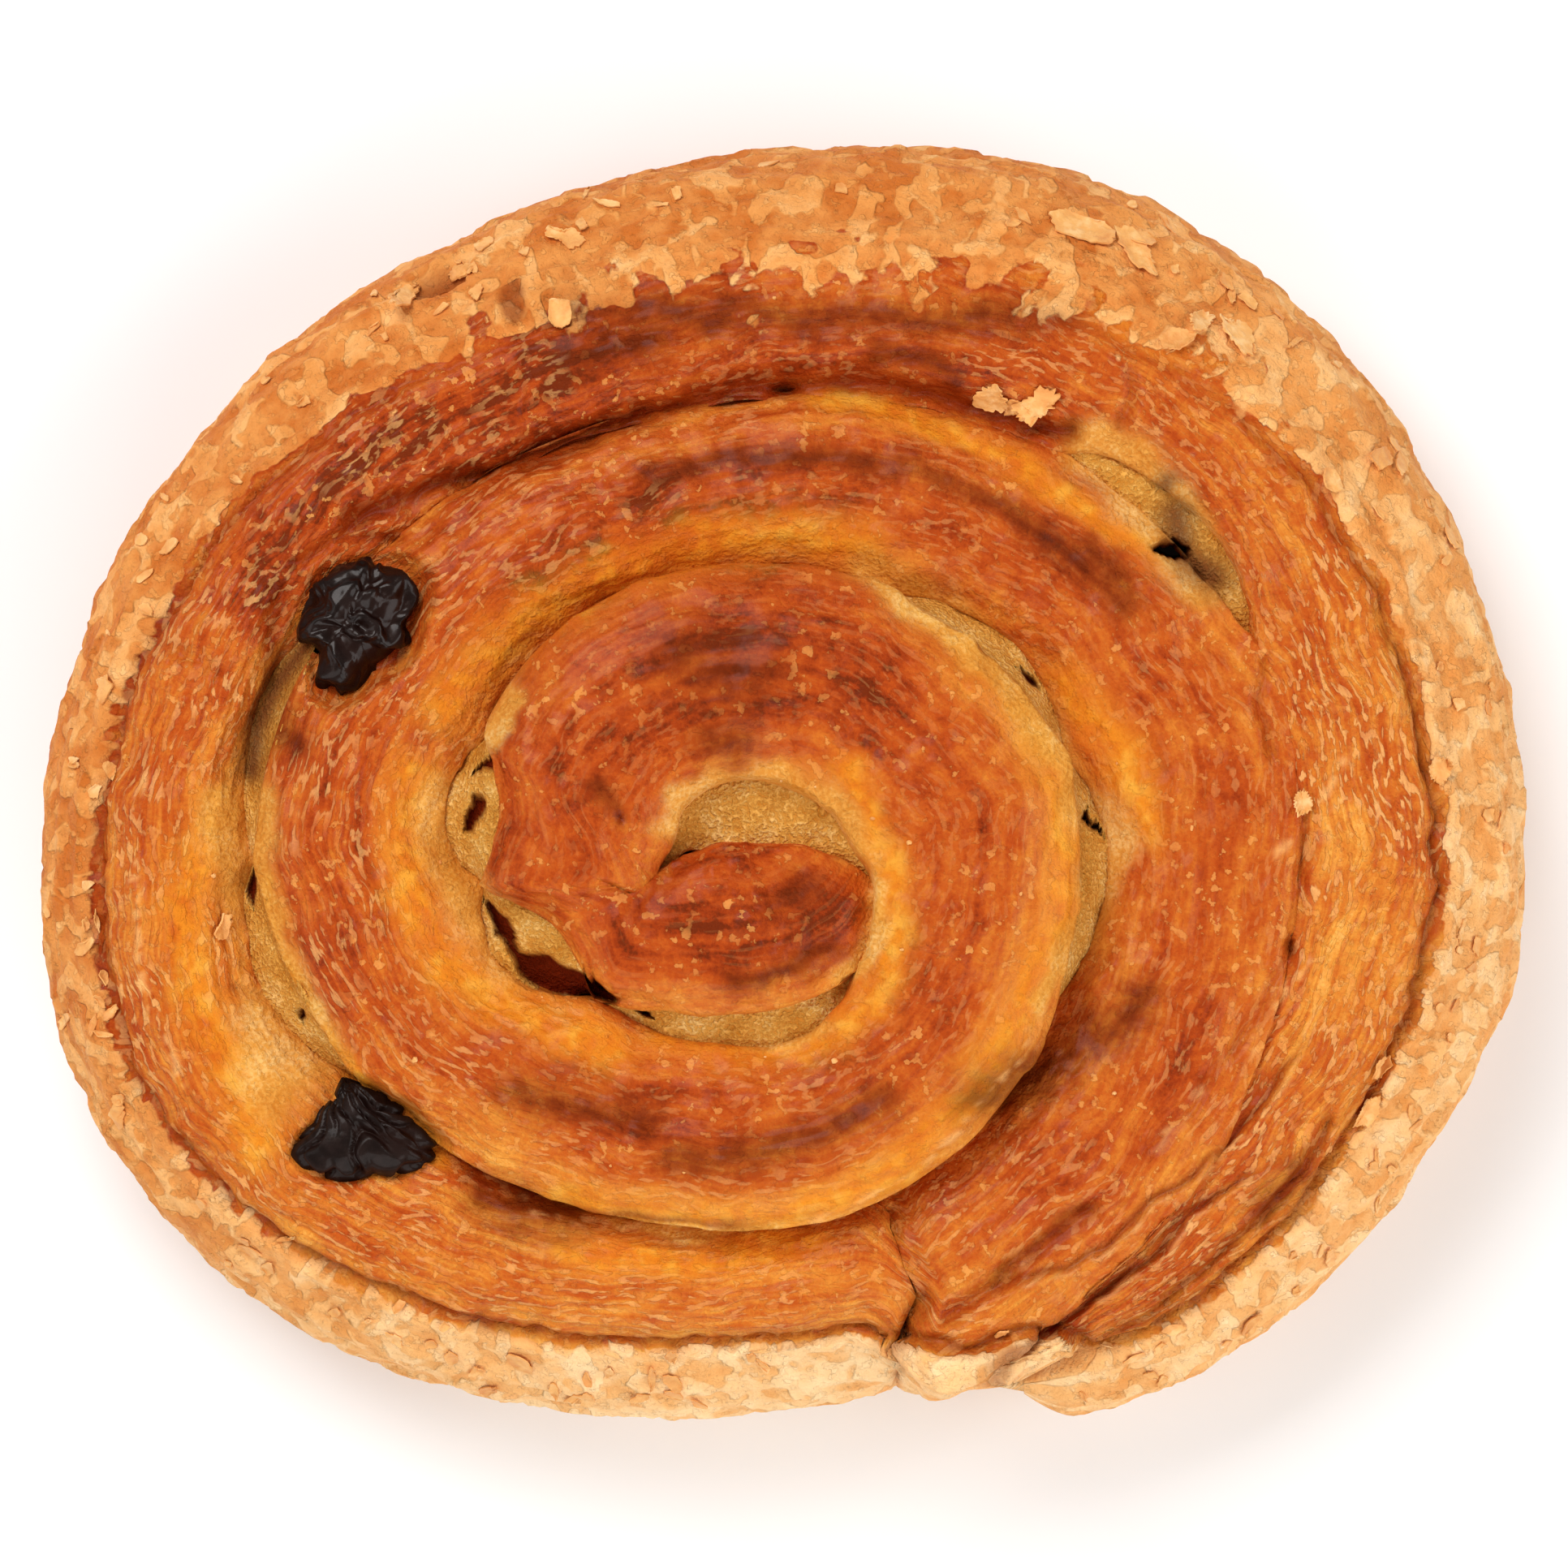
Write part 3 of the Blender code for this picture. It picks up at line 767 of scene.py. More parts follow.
# path, width and how much browner than the tables say
BROWNER = (
    ([(330, 720), (430, 600), (560, 520), (720, 460)], 4.0, 0.34),
    ([(760, 1400), (900, 1345), (1010, 1290)], 3.0, 0.12),
    ([(860, 1130), (1000, 1120)], 4.0, 0.14),
    ([(640, 740), (720, 690), (820, 640)], 2.6, 0.18),
    ([(430, 950), (420, 1060), (450, 1180)], 3.0, 0.10),
    ([(1200, 1400), (1340, 1440), (1440, 1300)], 4.0, 0.12),
    ([(1480, 1050), (1480, 1150)], 3.0, 0.06),
    ([(560, 1480), (760, 1560), (960, 1570)], 1.6, -0.08),
    ([(1640, 1000), (1650, 1150), (1600, 1280)], 2.2, -0.12),
)


def paint(xy, strokes, widen=1.0):
    """The strongest of several strokes at each point, their widths multiplied by widen."""
    found = np.zeros(xy.shape[:-1])
    for path, width in strokes:
        found = np.maximum(found, brush(xy, path, width * widen))
    return found


def pit(xy, place, half_width, half_length, turn):
    """1 inside a small turned ellipse round a pixel and 0 outside it."""
    dx, dy = np.moveaxis(xy - at(place), -1, 0)
    c, s = math.cos(math.radians(turn)), math.sin(math.radians(turn))
    along, across = -dx * s + dy * c, dx * c + dy * s
    return 1 - ease(np.hypot(across / half_width, along / half_length), 0.6, 1.1)


print("browning of the burnt turn:", across_bake(np.array([5.0]), np.array([0.5])).round(2))

# %% [markdown]
# ## Relief of the dough
# The relief is added along the surface's own normal. From coarse to fine it is: lumps, the furrows
# of the lamination that run along the strip, blisters of the glazed top, the broken plates of the
# crust, and the step and groove where the crust's lip meets the cut top. The same masks that shape
# a place are kept as attributes of the mesh, so the material knows what it paints.

# %% Heights of the relief
# where noise or rough is called, the first number is the size of a lump, the second its seed
LUMPS, LUMP_SIZE, SMALL_LUMP_SIZE = 0.40, 5.5, 2.3  # mm, as is all that follows
FURROWS = 0.17
FINE_FURROWS = 0.10
BLISTERS = 0.16
PLATES = 0.16
LAYERS_ON_WALL = 0.35
SHEET_STEP = 0.30
CRUST_STEP = 0.28
LIP_STEP = 0.55
LIP_GROOVE = 0.85
TOP_ROUGHNESS, CRUST_ROUGHNESS = 0.10, 0.08
CRUST_SHEETS, TOP_SHEETS = 2.1, 1.25  # from the edge of one sheet to the next
GOLD_SPREAD, CREAM_SPREAD = 0.68, 0.85  # of the widths of the strokes
WANDER = 0.7  # how far the edges of the coloured strokes wander


def stretched(along, across, length, width, plane=0.0):
    """Points for noise whose lumps are drawn out along the strip."""
    return np.stack((along / length, across / width, np.full_like(along, plane)), axis=-1)


def strip_distances(rings, tau, shift):
    """Distance along the strip at each ring, and across it at each column, in mm."""
    along = 0.5 * (spiral_length(tau) + spiral_length(inner_station(tau)))
    across = running_length(rings)
    along = along[:, None] - shift  # the strip runs to -X past the crack
    return along, across - across[:, WALL_LOW + WALL_HIGH - 1][:, None]


def sheets(along, across, spacing, seed):
    """Sheets that end one after another across the strip: 0 at one edge, 1 at the next."""
    flow = stretched(along, across, 12.0, 3 * spacing)
    place = across / spacing + 1.3 * noise(flow, 1.0, seed)
    place += 0.3 * noise(flow * np.array([5.0, 3.0, 1.0]), 1.0, seed + 1)
    return place - np.floor(place)


_places = sheets(np.zeros(6), np.arange(6.0), TOP_SHEETS, 27)
print("places in a sheet, every mm across the top:", _places.round(2))

# %% Masks of the strip
def masks_of(rings, tau, u, part, along, across):
    """Everything that varies over the strip, as a dictionary of arrays."""
    xy = rings[..., :2]
    t = np.broadcast_to(tau[:, None], u.shape)
    tail = TAIL_CRUST_WIDTH - path_distance(xy, TAIL_CRUST)[0]
    place = level(LIP_PLACE, np.clip(t - 10.0, 0.0, 5.0)) - RIM_PROFILE[-1][0] - across
    clear = level(LIP_CLEAR, np.clip(t - 10.0, 0.0, 5.0))
    ragged = 0.35 * noise(rings, 1.3, 11) + 0.5 * noise(rings, 4.0, 12)
    m = {"rim": np.maximum(rim_share(t), ease(tail, -1.6, -0.8)), "wall": (part == OUTER) * 1.0}
    m["to_lip"] = np.maximum(np.where(rim_share(t) > 0.3, place, -9.0), tail) + ragged
    hard = ease(m["to_lip"], -0.15, 0.15)
    soft = ease(m["to_lip"] / 6.0 + 0.8 * rough(rings, 3.0, 15), -0.5, 0.9)
    m["clear"] = clear
    m["crust"] = m["rim"] * ease(clear * hard + (1 - clear) * soft, 0.1, 0.8)
    m["plate"] = ease(rough(stretched(along, across, 2.1, 1.4), 1.0, 21) + 0.1, -0.05, 0.12)
    m["blister"] = ease(noise(rings, 1.15, 31) + 0.3 * noise(rings, 0.6, 32), 0.12, 0.42)
    m["blister"] = m["blister"] * ease(noise(rings, 8.0, 33), -0.15, 0.35)
    m["sheet"] = np.where(m["crust"] > 0.5, sheets(along, across, CRUST_SHEETS, 25),
                          sheets(along, across, TOP_SHEETS, 27))
    blurred = xy + WANDER * np.stack([rough(rings, 3.0, s, 2) for s in (17, 18)], axis=-1)
    m["gold"] = paint(blurred, GOLD, GOLD_SPREAD) * (1 - m["crust"])
    creamy = ease(paint(blurred, CREAM, CREAM_SPREAD), 0.1, 0.9)
    m["cream"] = 0.9 * creamy * (1 - m["crust"])
    # burnt spots, and along one groove painted shade
    m["burnt"] = paint(blurred, BURNT_AND_SHADE) * (1 - 0.7 * m["crust"])
    m["comb"] = (1 - m["crust"]) * (1 - m["cream"]) * level(LAYERED, tau)[:, None]
    m["stain"] = paint(xy, STAIN)
    return m


print("masks are painted from", sum(map(len, (GOLD, CREAM, BURNT_AND_SHADE, STAIN))), "strokes")

# %% Furrows and marks
MARK_WANDER = 0.35  # mm, how far the marks stray from their paths
HOLE_WANDER = 0.25  # share of that for the outlines of holes
RIDGE_HEIGHT = 0.15  # mm


def furrows(along, across):
    """Furrows that run along the strip: long lumps, narrow across it."""
    broad = noise(stretched(along, across, 9.0, 0.62), 1.0, 41)
    fine = noise(stretched(along, across, 5.0, 0.34, plane=1.0), 1.0, 42)
    return FURROWS * broad + FINE_FURROWS * fine


def marks(xy):
    """Height, painted shade and paleness of the grooves, folds, ridges, holes and pits; the
    paleness of a fold is a painted highlight.
    """
    height, shade, pale = (np.zeros(xy.shape[:-1]) for _ in range(3))
    flat = np.dstack((xy, xy[..., :1] * 0))
    stray = MARK_WANDER * np.stack([noise(flat, 2.0, s) for s in (51, 52)], axis=-1)
    wavy = xy + stray
    for path, width, depth in GROOVES:
        share = brush(wavy, path, width)
        height -= depth * share
        # painted shade in the groove, the darker the deeper
        shade = np.maximum(shade, share * min(1.0, 0.65 * depth**1.5))
    for path, width, depth in FOLDS:
        distance, left = path_distance(wavy, path)
        near = np.exp(-((distance / (width * 3)) ** 2))
        height += depth * near * (ease(left, -0.2, 0.2) - 0.5)
        # painted shadow at the foot of the step, and a painted highlight along its raised edge
        foot = np.exp(-(((left + 0.35) / 0.35) ** 2)) * near
        shade = np.maximum(shade, 0.8 * foot)
        pale = np.maximum(pale, 0.6 * np.exp(-(((left - 0.3) / 0.22) ** 2)) * near)
    for path, width in PALE_RIDGES:
        share = brush(wavy, path, width)
        height += RIDGE_HEIGHT * share
        pale = np.maximum(pale, share)
    for outline, _, depth in HOLES:
        if depth > 0:
            share = inside_of(xy + HOLE_WANDER * stray, outline)
            height -= depth * share
            # painted shade in the hole
            shade = np.maximum(shade, share)
    for place, half_width, half_length, turn, depth in PITS:
        share = pit(wavy, place, half_width, half_length, turn)
        height -= depth * share
        # painted shade in the pit
        shade = np.maximum(shade, 0.8 * share)
    return height, shade, pale


_depth = marks(at([GROOVES[0][0]]))[0].min()
print("the first groove is", -_depth.round(2), "mm deep")

# %% Relief
EDGE_SHARE = 0.06  # of the strip's width, where the furrows fade beside a crease
CALM_IN_CREASE = 0.8  # how much of the relief the walls of the crease go without


def relief(rings, tau, u, part, shift):
    """Height of the relief in mm, and the masks for the material."""
    along, across = strip_distances(rings, tau, shift)
    m = masks_of(rings, tau, u, part, along, across)
    top = (part == TOP) * 1.0
    edge = ease(u, 0.0, EDGE_SHARE) * ease(1 - u, 0.0, EDGE_SHARE)
    layered = level(LAYERED, tau)[:, None]
    height = LUMPS * noise(rings, LUMP_SIZE, 61)
    height = height + 0.5 * LUMPS * noise(rings, SMALL_LUMP_SIZE, 62)
    furrowed = top * (1 - 0.75 * m["crust"]) * (1 - 0.6 * m["cream"]) * (0.35 + 0.65 * edge)
    height = height + furrows(along, across) * furrowed * (0.25 + layered)
    height += BLISTERS * m["blister"] * (1 - m["crust"]) * top
    height += TOP_ROUGHNESS * rough(rings, 1.6, 74, 2) * top
    turned = 0.4 + noise(stretched(along, across, 20.0, 5.0), 1.0, 73)
    step = m["crust"] * CRUST_STEP + (1 - m["crust"]) * top * edge * layered * SHEET_STEP
    height += step * (m["sheet"] - 0.5) * turned
    wall_layers = noise(stretched(along, rings[..., 2], 14.0, 1.1), 1.0, 71)
    plates = PLATES * (m["plate"] - 0.5) + CRUST_ROUGHNESS * rough(rings, 0.9, 72)
    height += m["crust"] * plates
    height += LAYERS_ON_WALL * m["rim"] * m["wall"] * wall_layers
    lip = m["rim"] * m["clear"]
    height += LIP_STEP * lip * ease(m["to_lip"], -0.15, 0.2) * (1 - ease(m["to_lip"], 0.3, 3.0))
    groove = np.exp(-(((m["to_lip"] + 0.6) / 0.38) ** 2))
    height -= LIP_GROOVE * lip * groove
    mark_height, mark_shade, pale = marks(rings[..., :2])
    marked = np.maximum(top, m["rim"] * ease(rings[..., 2], 8.0, 16.0))
    in_crease = ((part == OUTER) | (part == INNER)) * (1 - m["rim"])
    height = height * (1 - CALM_IN_CREASE * in_crease) + mark_height * marked * (part == OUTER)
    m["drop"] = mark_height * (part == TOP)
    # painted shade along the groove at the crust's lip: a narrow dark line and a wider red-brown
    # band
    wide_lip_groove_shade = 0.6 * np.exp(-(((m["to_lip"] + 0.85) / 0.75) ** 2))
    m["shade"] = np.maximum(mark_shade * marked, lip * np.maximum(0.75 * groove, wide_lip_groove_shade))
    m["pale"] = pale * marked * ease(noise(rings, 0.8, 83) + noise(rings, 2.5, 84), -0.1, 0.35)
    toast = level(TOAST, np.clip(tau - 10.0, 0.0, 5.0))[:, None]
    bake = across_bake(np.broadcast_to(tau[:, None], u.shape), u)
    for path, width, amount in BROWNER:
        bake = bake + amount * brush(rings[..., :2], path, width)
    m["bake"] = bake + (toast - bake) * m["crust"]
    return np.where(part == BASE, 0.0, height), m, along, across


_tau = np.array([9.0, 9.01, 9.02])
_rings, _u, _part = strip(_tau)
_height = relief(_rings, _tau, _u, _part, np.zeros(_u.shape))[0]
print("relief across one turn, mm:", _height.min().round(2), "to", _height.max().round(2))

# %% [markdown]
# ## The dough in two pieces
# Each piece starts as a flat grid primitive. Its rows are laid along the sections of the strip,
# its two long sides are merged under the base, and its ends are filled. Extrusion along a curve
# would be the way by hand, but a section that changes from a tongue to a tail needs the formula.
# The strip is parted at the crack in the front, where the real one has split as well.

# %% The crack
CRACK_STATION = 10.775
# across the strip from the crease to the rim: share, sideways shift and half width in mm
CRACK = ((0.0, 0.2, 0.0), (0.08, 1.2, 0.02), (0.2, 1.35, 0.04), (0.4, 2.4, 0.06), (0.5, 2.8, 0.12),
         (0.56, 2.4, 0.45), (0.68, 1.3, 0.4), (0.75, 0.7, 0.06), (1.0, 0.25, 0.06))
CRACK_DEPTH = 2.0  # mm under the top
CRACK_REACH = 7.0  # mm along the strip over which the sections lean to follow the crack


def surface_normals(rings):
    """Normals of the rings' surface, pointing out of the dough."""
    along = np.gradient(rings, axis=0)
    across = (np.roll(rings, -1, axis=1) - np.roll(rings, 1, axis=1)) / 2
    normal = np.cross(across, along)
    length = np.linalg.norm(normal, axis=-1, keepdims=True)
    return normal / np.maximum(length, 1e-9)


def lean_to_crack(rings, tau, side):
    """Moves the sections next to the crack so that they end at its ragged wall."""
    length = np.abs(spiral_length(tau) - spiral_length(CRACK_STATION))
    near = (1 - ease(length / CRACK_REACH))[:, None]
    inner, outer = spiral(inner_station(np.array([CRACK_STATION])))[0], spiral(CRACK_STATION)[0]
    run = outer - inner[0]
    share = np.clip(((rings[..., :2] - inner[0]) @ run) / (run @ run), 0, 1)
    shares, shifts, halves = np.array(CRACK).T
    top = rings[..., 2].max(axis=1, keepdims=True)
    depth = ease(rings[..., 2], top - CRACK_DEPTH, top - 0.6)
    rag = 0.22 * noise(rings, 1.3, 81)
    wall = np.interp(share, shares, halves) * depth
    x = (np.interp(share, shares, shifts) + rag + side * wall) * near
    return rings + x[..., None] * np.array([1.0, 0.0, 0.0]), x


print("the crack lies at", spiral(np.array([CRACK_STATION]))[0].round(1), "mm")

# %% The end of the tail
DOME_RINGS, DOME_HEIGHT = 6, 1.5  # the height in mm


def rounded_end(rings):
    """The rings and a low dome beyond the last one, which closes the tail."""
    last, before = rings[-1], rings[-2]
    centre = last.mean(0)
    out = (last - before).mean(0)
    out /= np.linalg.norm(out)
    angles = np.linspace(0.0, math.pi / 2, DOME_RINGS + 2)[1:-1]
    domes = [centre + (last - centre) * math.cos(a) + out * DOME_HEIGHT * math.sin(a)
             for a in angles]
    return np.concatenate((rings, domes))


def repeat_last(rows):
    """Rows of a table, with the last one repeated for each ring of the dome."""
    return np.concatenate((rows, np.repeat(rows[-1:], DOME_RINGS, axis=0)))


print(DOME_RINGS, "rings close the tail")

# %% Helpers for meshes
MASK_NAMES = ("bake", "crust", "comb", "blister", "sheet", "gold", "cream", "burnt", "stain",
              "shade", "pale")


def set_points(piece, points):
    """Moves the vertices of a piece to points in mm."""
    piece.data.vertices.foreach_set("co", (points * MM).astype(np.float32).ravel())


def select_only(*pieces):
    """Selects these pieces alone and makes the first one active."""
    bpy.ops.object.select_all(action="DESELECT")
    for piece in pieces:
        piece.select_set(True)
    bpy.context.view_layer.objects.active = pieces[0]


def keep_mask(piece, name, values):
    """Stores one value for each vertex as an attribute of the mesh."""
    kept = piece.data.attributes.new(name, "FLOAT", "POINT")
    kept.data.foreach_set("value", np.clip(values, 0, 1).astype(np.float32).ravel())


def wrapped(table):
    """A table with its first column repeated as the last, as the rows of the grid close."""
    return np.concatenate((table, table[:, :1]), axis=1)


print("masks:", ", ".join(MASK_NAMES))

# %% From rings to a mesh
MERGE_DISTANCE = 0.000004  # metres


def grid_piece(name, rings, along, across, masks):
    """A grid primitive whose rows are the rings, with its UV map and its masks."""
    rows, columns = rings.shape[:2]
    bpy.ops.mesh.primitive_grid_add(x_subdivisions=columns, y_subdivisions=rows - 1, size=1.0)
    piece = bpy.context.object
    piece.name = piece.data.name = name
    set_points(piece, wrapped(rings))
    u = wrapped(along).ravel() * MM
    v = np.concatenate((across, across[:, -1:] + 1.0), axis=1).ravel() * MM
    corner = np.zeros(len(piece.data.loops), int)
    piece.data.loops.foreach_get("vertex_index", corner)
    piece.data.uv_layers[0].data.foreach_set(
        "uv", np.column_stack((u[corner], v[corner])).astype(np.float32).ravel())
    for key, values in masks.items():
        keep_mask(piece, key, wrapped(values))
    return piece


def close_up(piece):
    """Merges the seam, fills the ends and turns all faces outwards."""
    select_only(piece)
    bpy.ops.object.mode_set(mode="EDIT")
    bpy.ops.mesh.select_all(action="SELECT")
    bpy.ops.mesh.remove_doubles(threshold=MERGE_DISTANCE)
    bpy.ops.mesh.select_all(action="DESELECT")
    bpy.ops.mesh.select_non_manifold(extend=False, use_wire=False, use_boundary=True,
                                     use_multi_face=False, use_non_contiguous=False,
                                     use_verts=False)
    bpy.ops.mesh.fill_holes(sides=0)
    bpy.ops.mesh.select_all(action="SELECT")
    bpy.ops.mesh.normals_make_consistent(inside=False)
    bpy.ops.object.mode_set(mode="OBJECT")
    bpy.ops.object.shade_smooth()
    triangles = sum(len(p.vertices) - 2 for p in piece.data.polygons)
    print(piece.name, triangles, "triangles")


print("points within", MERGE_DISTANCE / MM, "mm of each other are merged")

# %% Making a piece of dough
STEP_ALONG = 0.36  # mm between two rows
# where the strip (first) and the tail's end (second) stand out at the rim, and by how many mm
TAIL_BULGES = (([(1150, 1712), (1215, 1712)], 1.3), ([(1190, 1706), (1285, 1714)], 3.2))
TAIL_BULGE_WIDTH = 1.7
# how the dent round a raisin rises: at these shares of its reach, and by how many mm
DENT_FROM, DENT_TO, DENT_DEPTH = 0.9, 1.6, 7.0


def stations_every(first, last, step):
    """Stations from first to last, about one step apart in the middle of the strip."""
    fine = np.linspace(first, last, 4001)
    middle = 0.5 * (spiral(fine)[0] + spiral(inner_station(fine))[0])
    along = running_length(middle)
    count = int(along[-1] / step) + 1
    return np.interp(np.linspace(0.0, along[-1], count), along, fine)


def bed_raisins(shaped):
    """Lowers the dough or custard under the raisins, so that they lie in dents of it."""
    for outline, height, _, _ in RAISINS.values():
        ratio = raisin_distance(shaped[..., :2], outline)
        dent = height + 0.2 + DENT_DEPTH * ease(ratio, DENT_FROM, DENT_TO)
        lowered = np.minimum(shaped[..., 2], dent)
        shaped[..., 2] = np.where(ratio < DENT_TO, lowered, shaped[..., 2])
    return shaped


def dough_piece(name, first, last, crack_side, rounded=False):
    """The strip between two stations; crack_side is 1 before the crack and -1 after it."""
    tau = stations_every(first, last, STEP_ALONG)
    rings, u, part = strip(tau)
    rings, shift = lean_to_crack(rings, tau, crack_side)
    height, masks, along, across = relief(rings, tau, u, part, shift)
    shaped = rings + surface_normals(rings) * height[..., None]
    shaped[..., 2] += masks.pop("drop")
    path, push = TAIL_BULGES[1 if rounded else 0]
    shaped[..., 1] -= push * brush(shaped[..., :2], path, TAIL_BULGE_WIDTH)
    shaped = bed_raisins(shaped)
    if rounded:
        shaped = rounded_end(shaped)
        masks = {key: repeat_last(values) for key, values in masks.items()}
        dome_crust = np.linspace(0.3, 1.0, DOME_RINGS)[:, None]
        masks["crust"][-DOME_RINGS:] = np.maximum(masks["crust"][-DOME_RINGS:], dome_crust)
        along, across = repeat_last(along), repeat_last(across)
    low, high = (np.array(corner) / MM for corner in CAD_BOX)
    piece = grid_piece(name, np.clip(shaped, low, high), along, across,
                       {key: masks[key] for key in MASK_NAMES})
    close_up(piece)
    return piece


roll = dough_piece("dough_roll", TONGUE_TIP, CRACK_STATION, 1.0)
outer_turn = dough_piece("dough_outer_turn", CRACK_STATION, TAIL_END, -1.0, rounded=True)

# %% [markdown]
# ## Custard in the creases
# The custard was spread on the dough before it was rolled, so it is a wall that runs the whole
# length of the crease. Where the crease stands open it shows as a lumpy, grainy band that clings
# to the dough on both sides, with dark holes where it tore. It is laid on the spiral in the same
# way as the dough, a little wider than the crease, so that no slit shows along its sides.

# %% The custard
CUSTARD_START, CUSTARD_END = 0.02, 10.6  # stations
CUSTARD_ROWS, CUSTARD_TOP_COLUMNS, CUSTARD_SIDE_COLUMNS = 1100, 30, 4
CUSTARD_OVERLAP = 0.5  # mm, how far it reaches into the dough on each side
CORE_OVERLAP = 1.0  # mm more, in the first turn
CUSTARD_SWELL = 0.5  # mm
CUSTARD_LUMPS, CUSTARD_GRAIN = 0.35, 0.10  # mm
CUSTARD_FOOT, FOOT_PART = 0.4, 0.5  # mm over the table, and share of the crease that it fills


def custard_rings(t):
    """Rings round the custard wall: its top from side to side, then down and under."""
    v = np.linspace(-1.0, 1.0, CUSTARD_TOP_COLUMNS)[None, :]
    shown = np.maximum(shown_share(t), 1 - ease(t, 3.0, 3.4))[:, None]
    inside, outside = level(EDGE_INSIDE, t)[:, None], level(EDGE_OUTSIDE, t)[:, None]
    level_top = inside + (outside - inside) * ease((v + 1) / 2) + CUSTARD_SWELL * (1 - v**4)
    hidden = crease_top(t)[:, None] - CUSTARD_HIDDEN_DEPTH
    z = hidden + (level_top - hidden) * ease(shown, 0.0, 0.15)
    core = 1 - ease(t, 3.0, 3.6)[:, None]
    part = np.where(v < 0, open_part(t, POCKET_PART_INSIDE)[:, None],
                    open_part(t, POCKET_PART_OUTSIDE)[:, None])
    half = dough_gap(t[:, None], z, part) + CUSTARD_OVERLAP + CORE_OVERLAP * core
    point, normal = (a[:, None, :] for a in spiral(t))
    upper = np.dstack((point + normal * (v * half)[..., None], z))
    low = np.linspace(1.0, 0.0, CUSTARD_SIDE_COLUMNS + 1)[None, 1:, None]
    deep = half_gap(t[:, None], 0 * hidden) * FOOT_PART
    sides = []
    for side in (1.0, -1.0):
        foot = np.dstack((point + normal * (side * deep)[..., None], 0 * deep + CUSTARD_FOOT))
        edge = upper[:, -1:] if side > 0 else upper[:, :1]
        run = foot + (edge - foot) * low
        sides.append(run if side > 0 else run[:, ::-1])
    return np.concatenate((upper, *sides), axis=1)


def custard_piece():
    """The whole wall of custard, lumpy and grainy on top, with its holes."""
    first, last = spiral_length(CUSTARD_START), spiral_length(CUSTARD_END)
    t = np.interp(np.linspace(first, last, CUSTARD_ROWS), SPIRAL[3], SPIRAL[0])
    rings = custard_rings(t)
    top = (np.arange(rings.shape[1]) < CUSTARD_TOP_COLUMNS)[None, :] * 1.0
    height = CUSTARD_LUMPS * rough(rings, 2.6, 91) + CUSTARD_GRAIN * rough(rings, 0.7, 95)
    depth = np.zeros(rings.shape[:2])
    wavy = rings[..., :2] + 0.15 * noise(rings, 0.8, 97)[..., None]
    hole = np.zeros(rings.shape[:2])
    for outline, deep, _ in HOLES:
        share = inside_of(wavy, outline)
        depth = np.maximum(depth, share * deep)
        hole = np.maximum(hole, share)
    shaped = rings.copy()
    shaped[..., 2] += (height - depth) * top
    shaped = bed_raisins(shaped)
    masks = {"shade": hole * top, "stain": paint(rings[..., :2], STAIN)}
    along = np.broadcast_to(spiral_length(t)[:, None], rings.shape[:2])
    piece = grid_piece("custard_wall", shaped, along, running_length(rings), masks)
    close_up(piece)
    return piece


custard = custard_piece()

# %% [markdown]
# ## Raisins
# A raisin starts as an icosphere, whose faces are all alike, so that the folds come out equally
# fine everywhere. It is first drawn out to its outline as the photograph shows it from above, and
# then wrinkled. The upper one is deeply and evenly wrinkled. The lower one has folds that fan out
# from the end where its stalk was. A third raisin, in the notch, is nearly covered by custard, so
# its plain solid is shown as it is, with the finish of the others.

# %% Wrinkled raisins
# depth of the wrinkles in mm, and whether they fan out from the stalk end
WRINKLES = {"raisin_upper": (0.85, 0.0), "raisin_lower": (0.7, 1.0)}
RAISIN_FULLNESS = 0.25  # how much fuller it is at its rim than a ball


def points_of(piece):
    """The vertices of a piece, in metres."""
    co = np.zeros(len(piece.data.vertices) * 3)
    piece.data.vertices.foreach_get("co", co)
    return co.reshape(-1, 3)


def wrinkle(points, stalk, fan):
    """Sharp valleys between round folds; fan turns them towards the stalk end."""
    bent = points + 0.8 * np.stack([noise(points, 2.5, s) for s in (101, 102, 103)], -1)
    away = bent[:, :2] - stalk
    angle, reach = np.arctan2(away[:, 1], away[:, 0]), np.linalg.norm(away, axis=1)
    fanned = np.stack((angle * 4.0, reach / 9.0, bent[:, 2] / 6.0), axis=-1)
    valleys = np.abs(noise(bent, 3.4, 104)) + 0.35 * np.abs(noise(bent, 1.3, 105))
    plain = 1 - ease(valleys, 0.0, 0.6)
    fans = ease(np.abs(noise(fanned, 1.0, 106)), 0.0, 0.22)
    fans = fans * 0.85 + 0.15 * ease(noise(bent, 1.6, 107))
    return (1 - fan) * plain + fan * fans


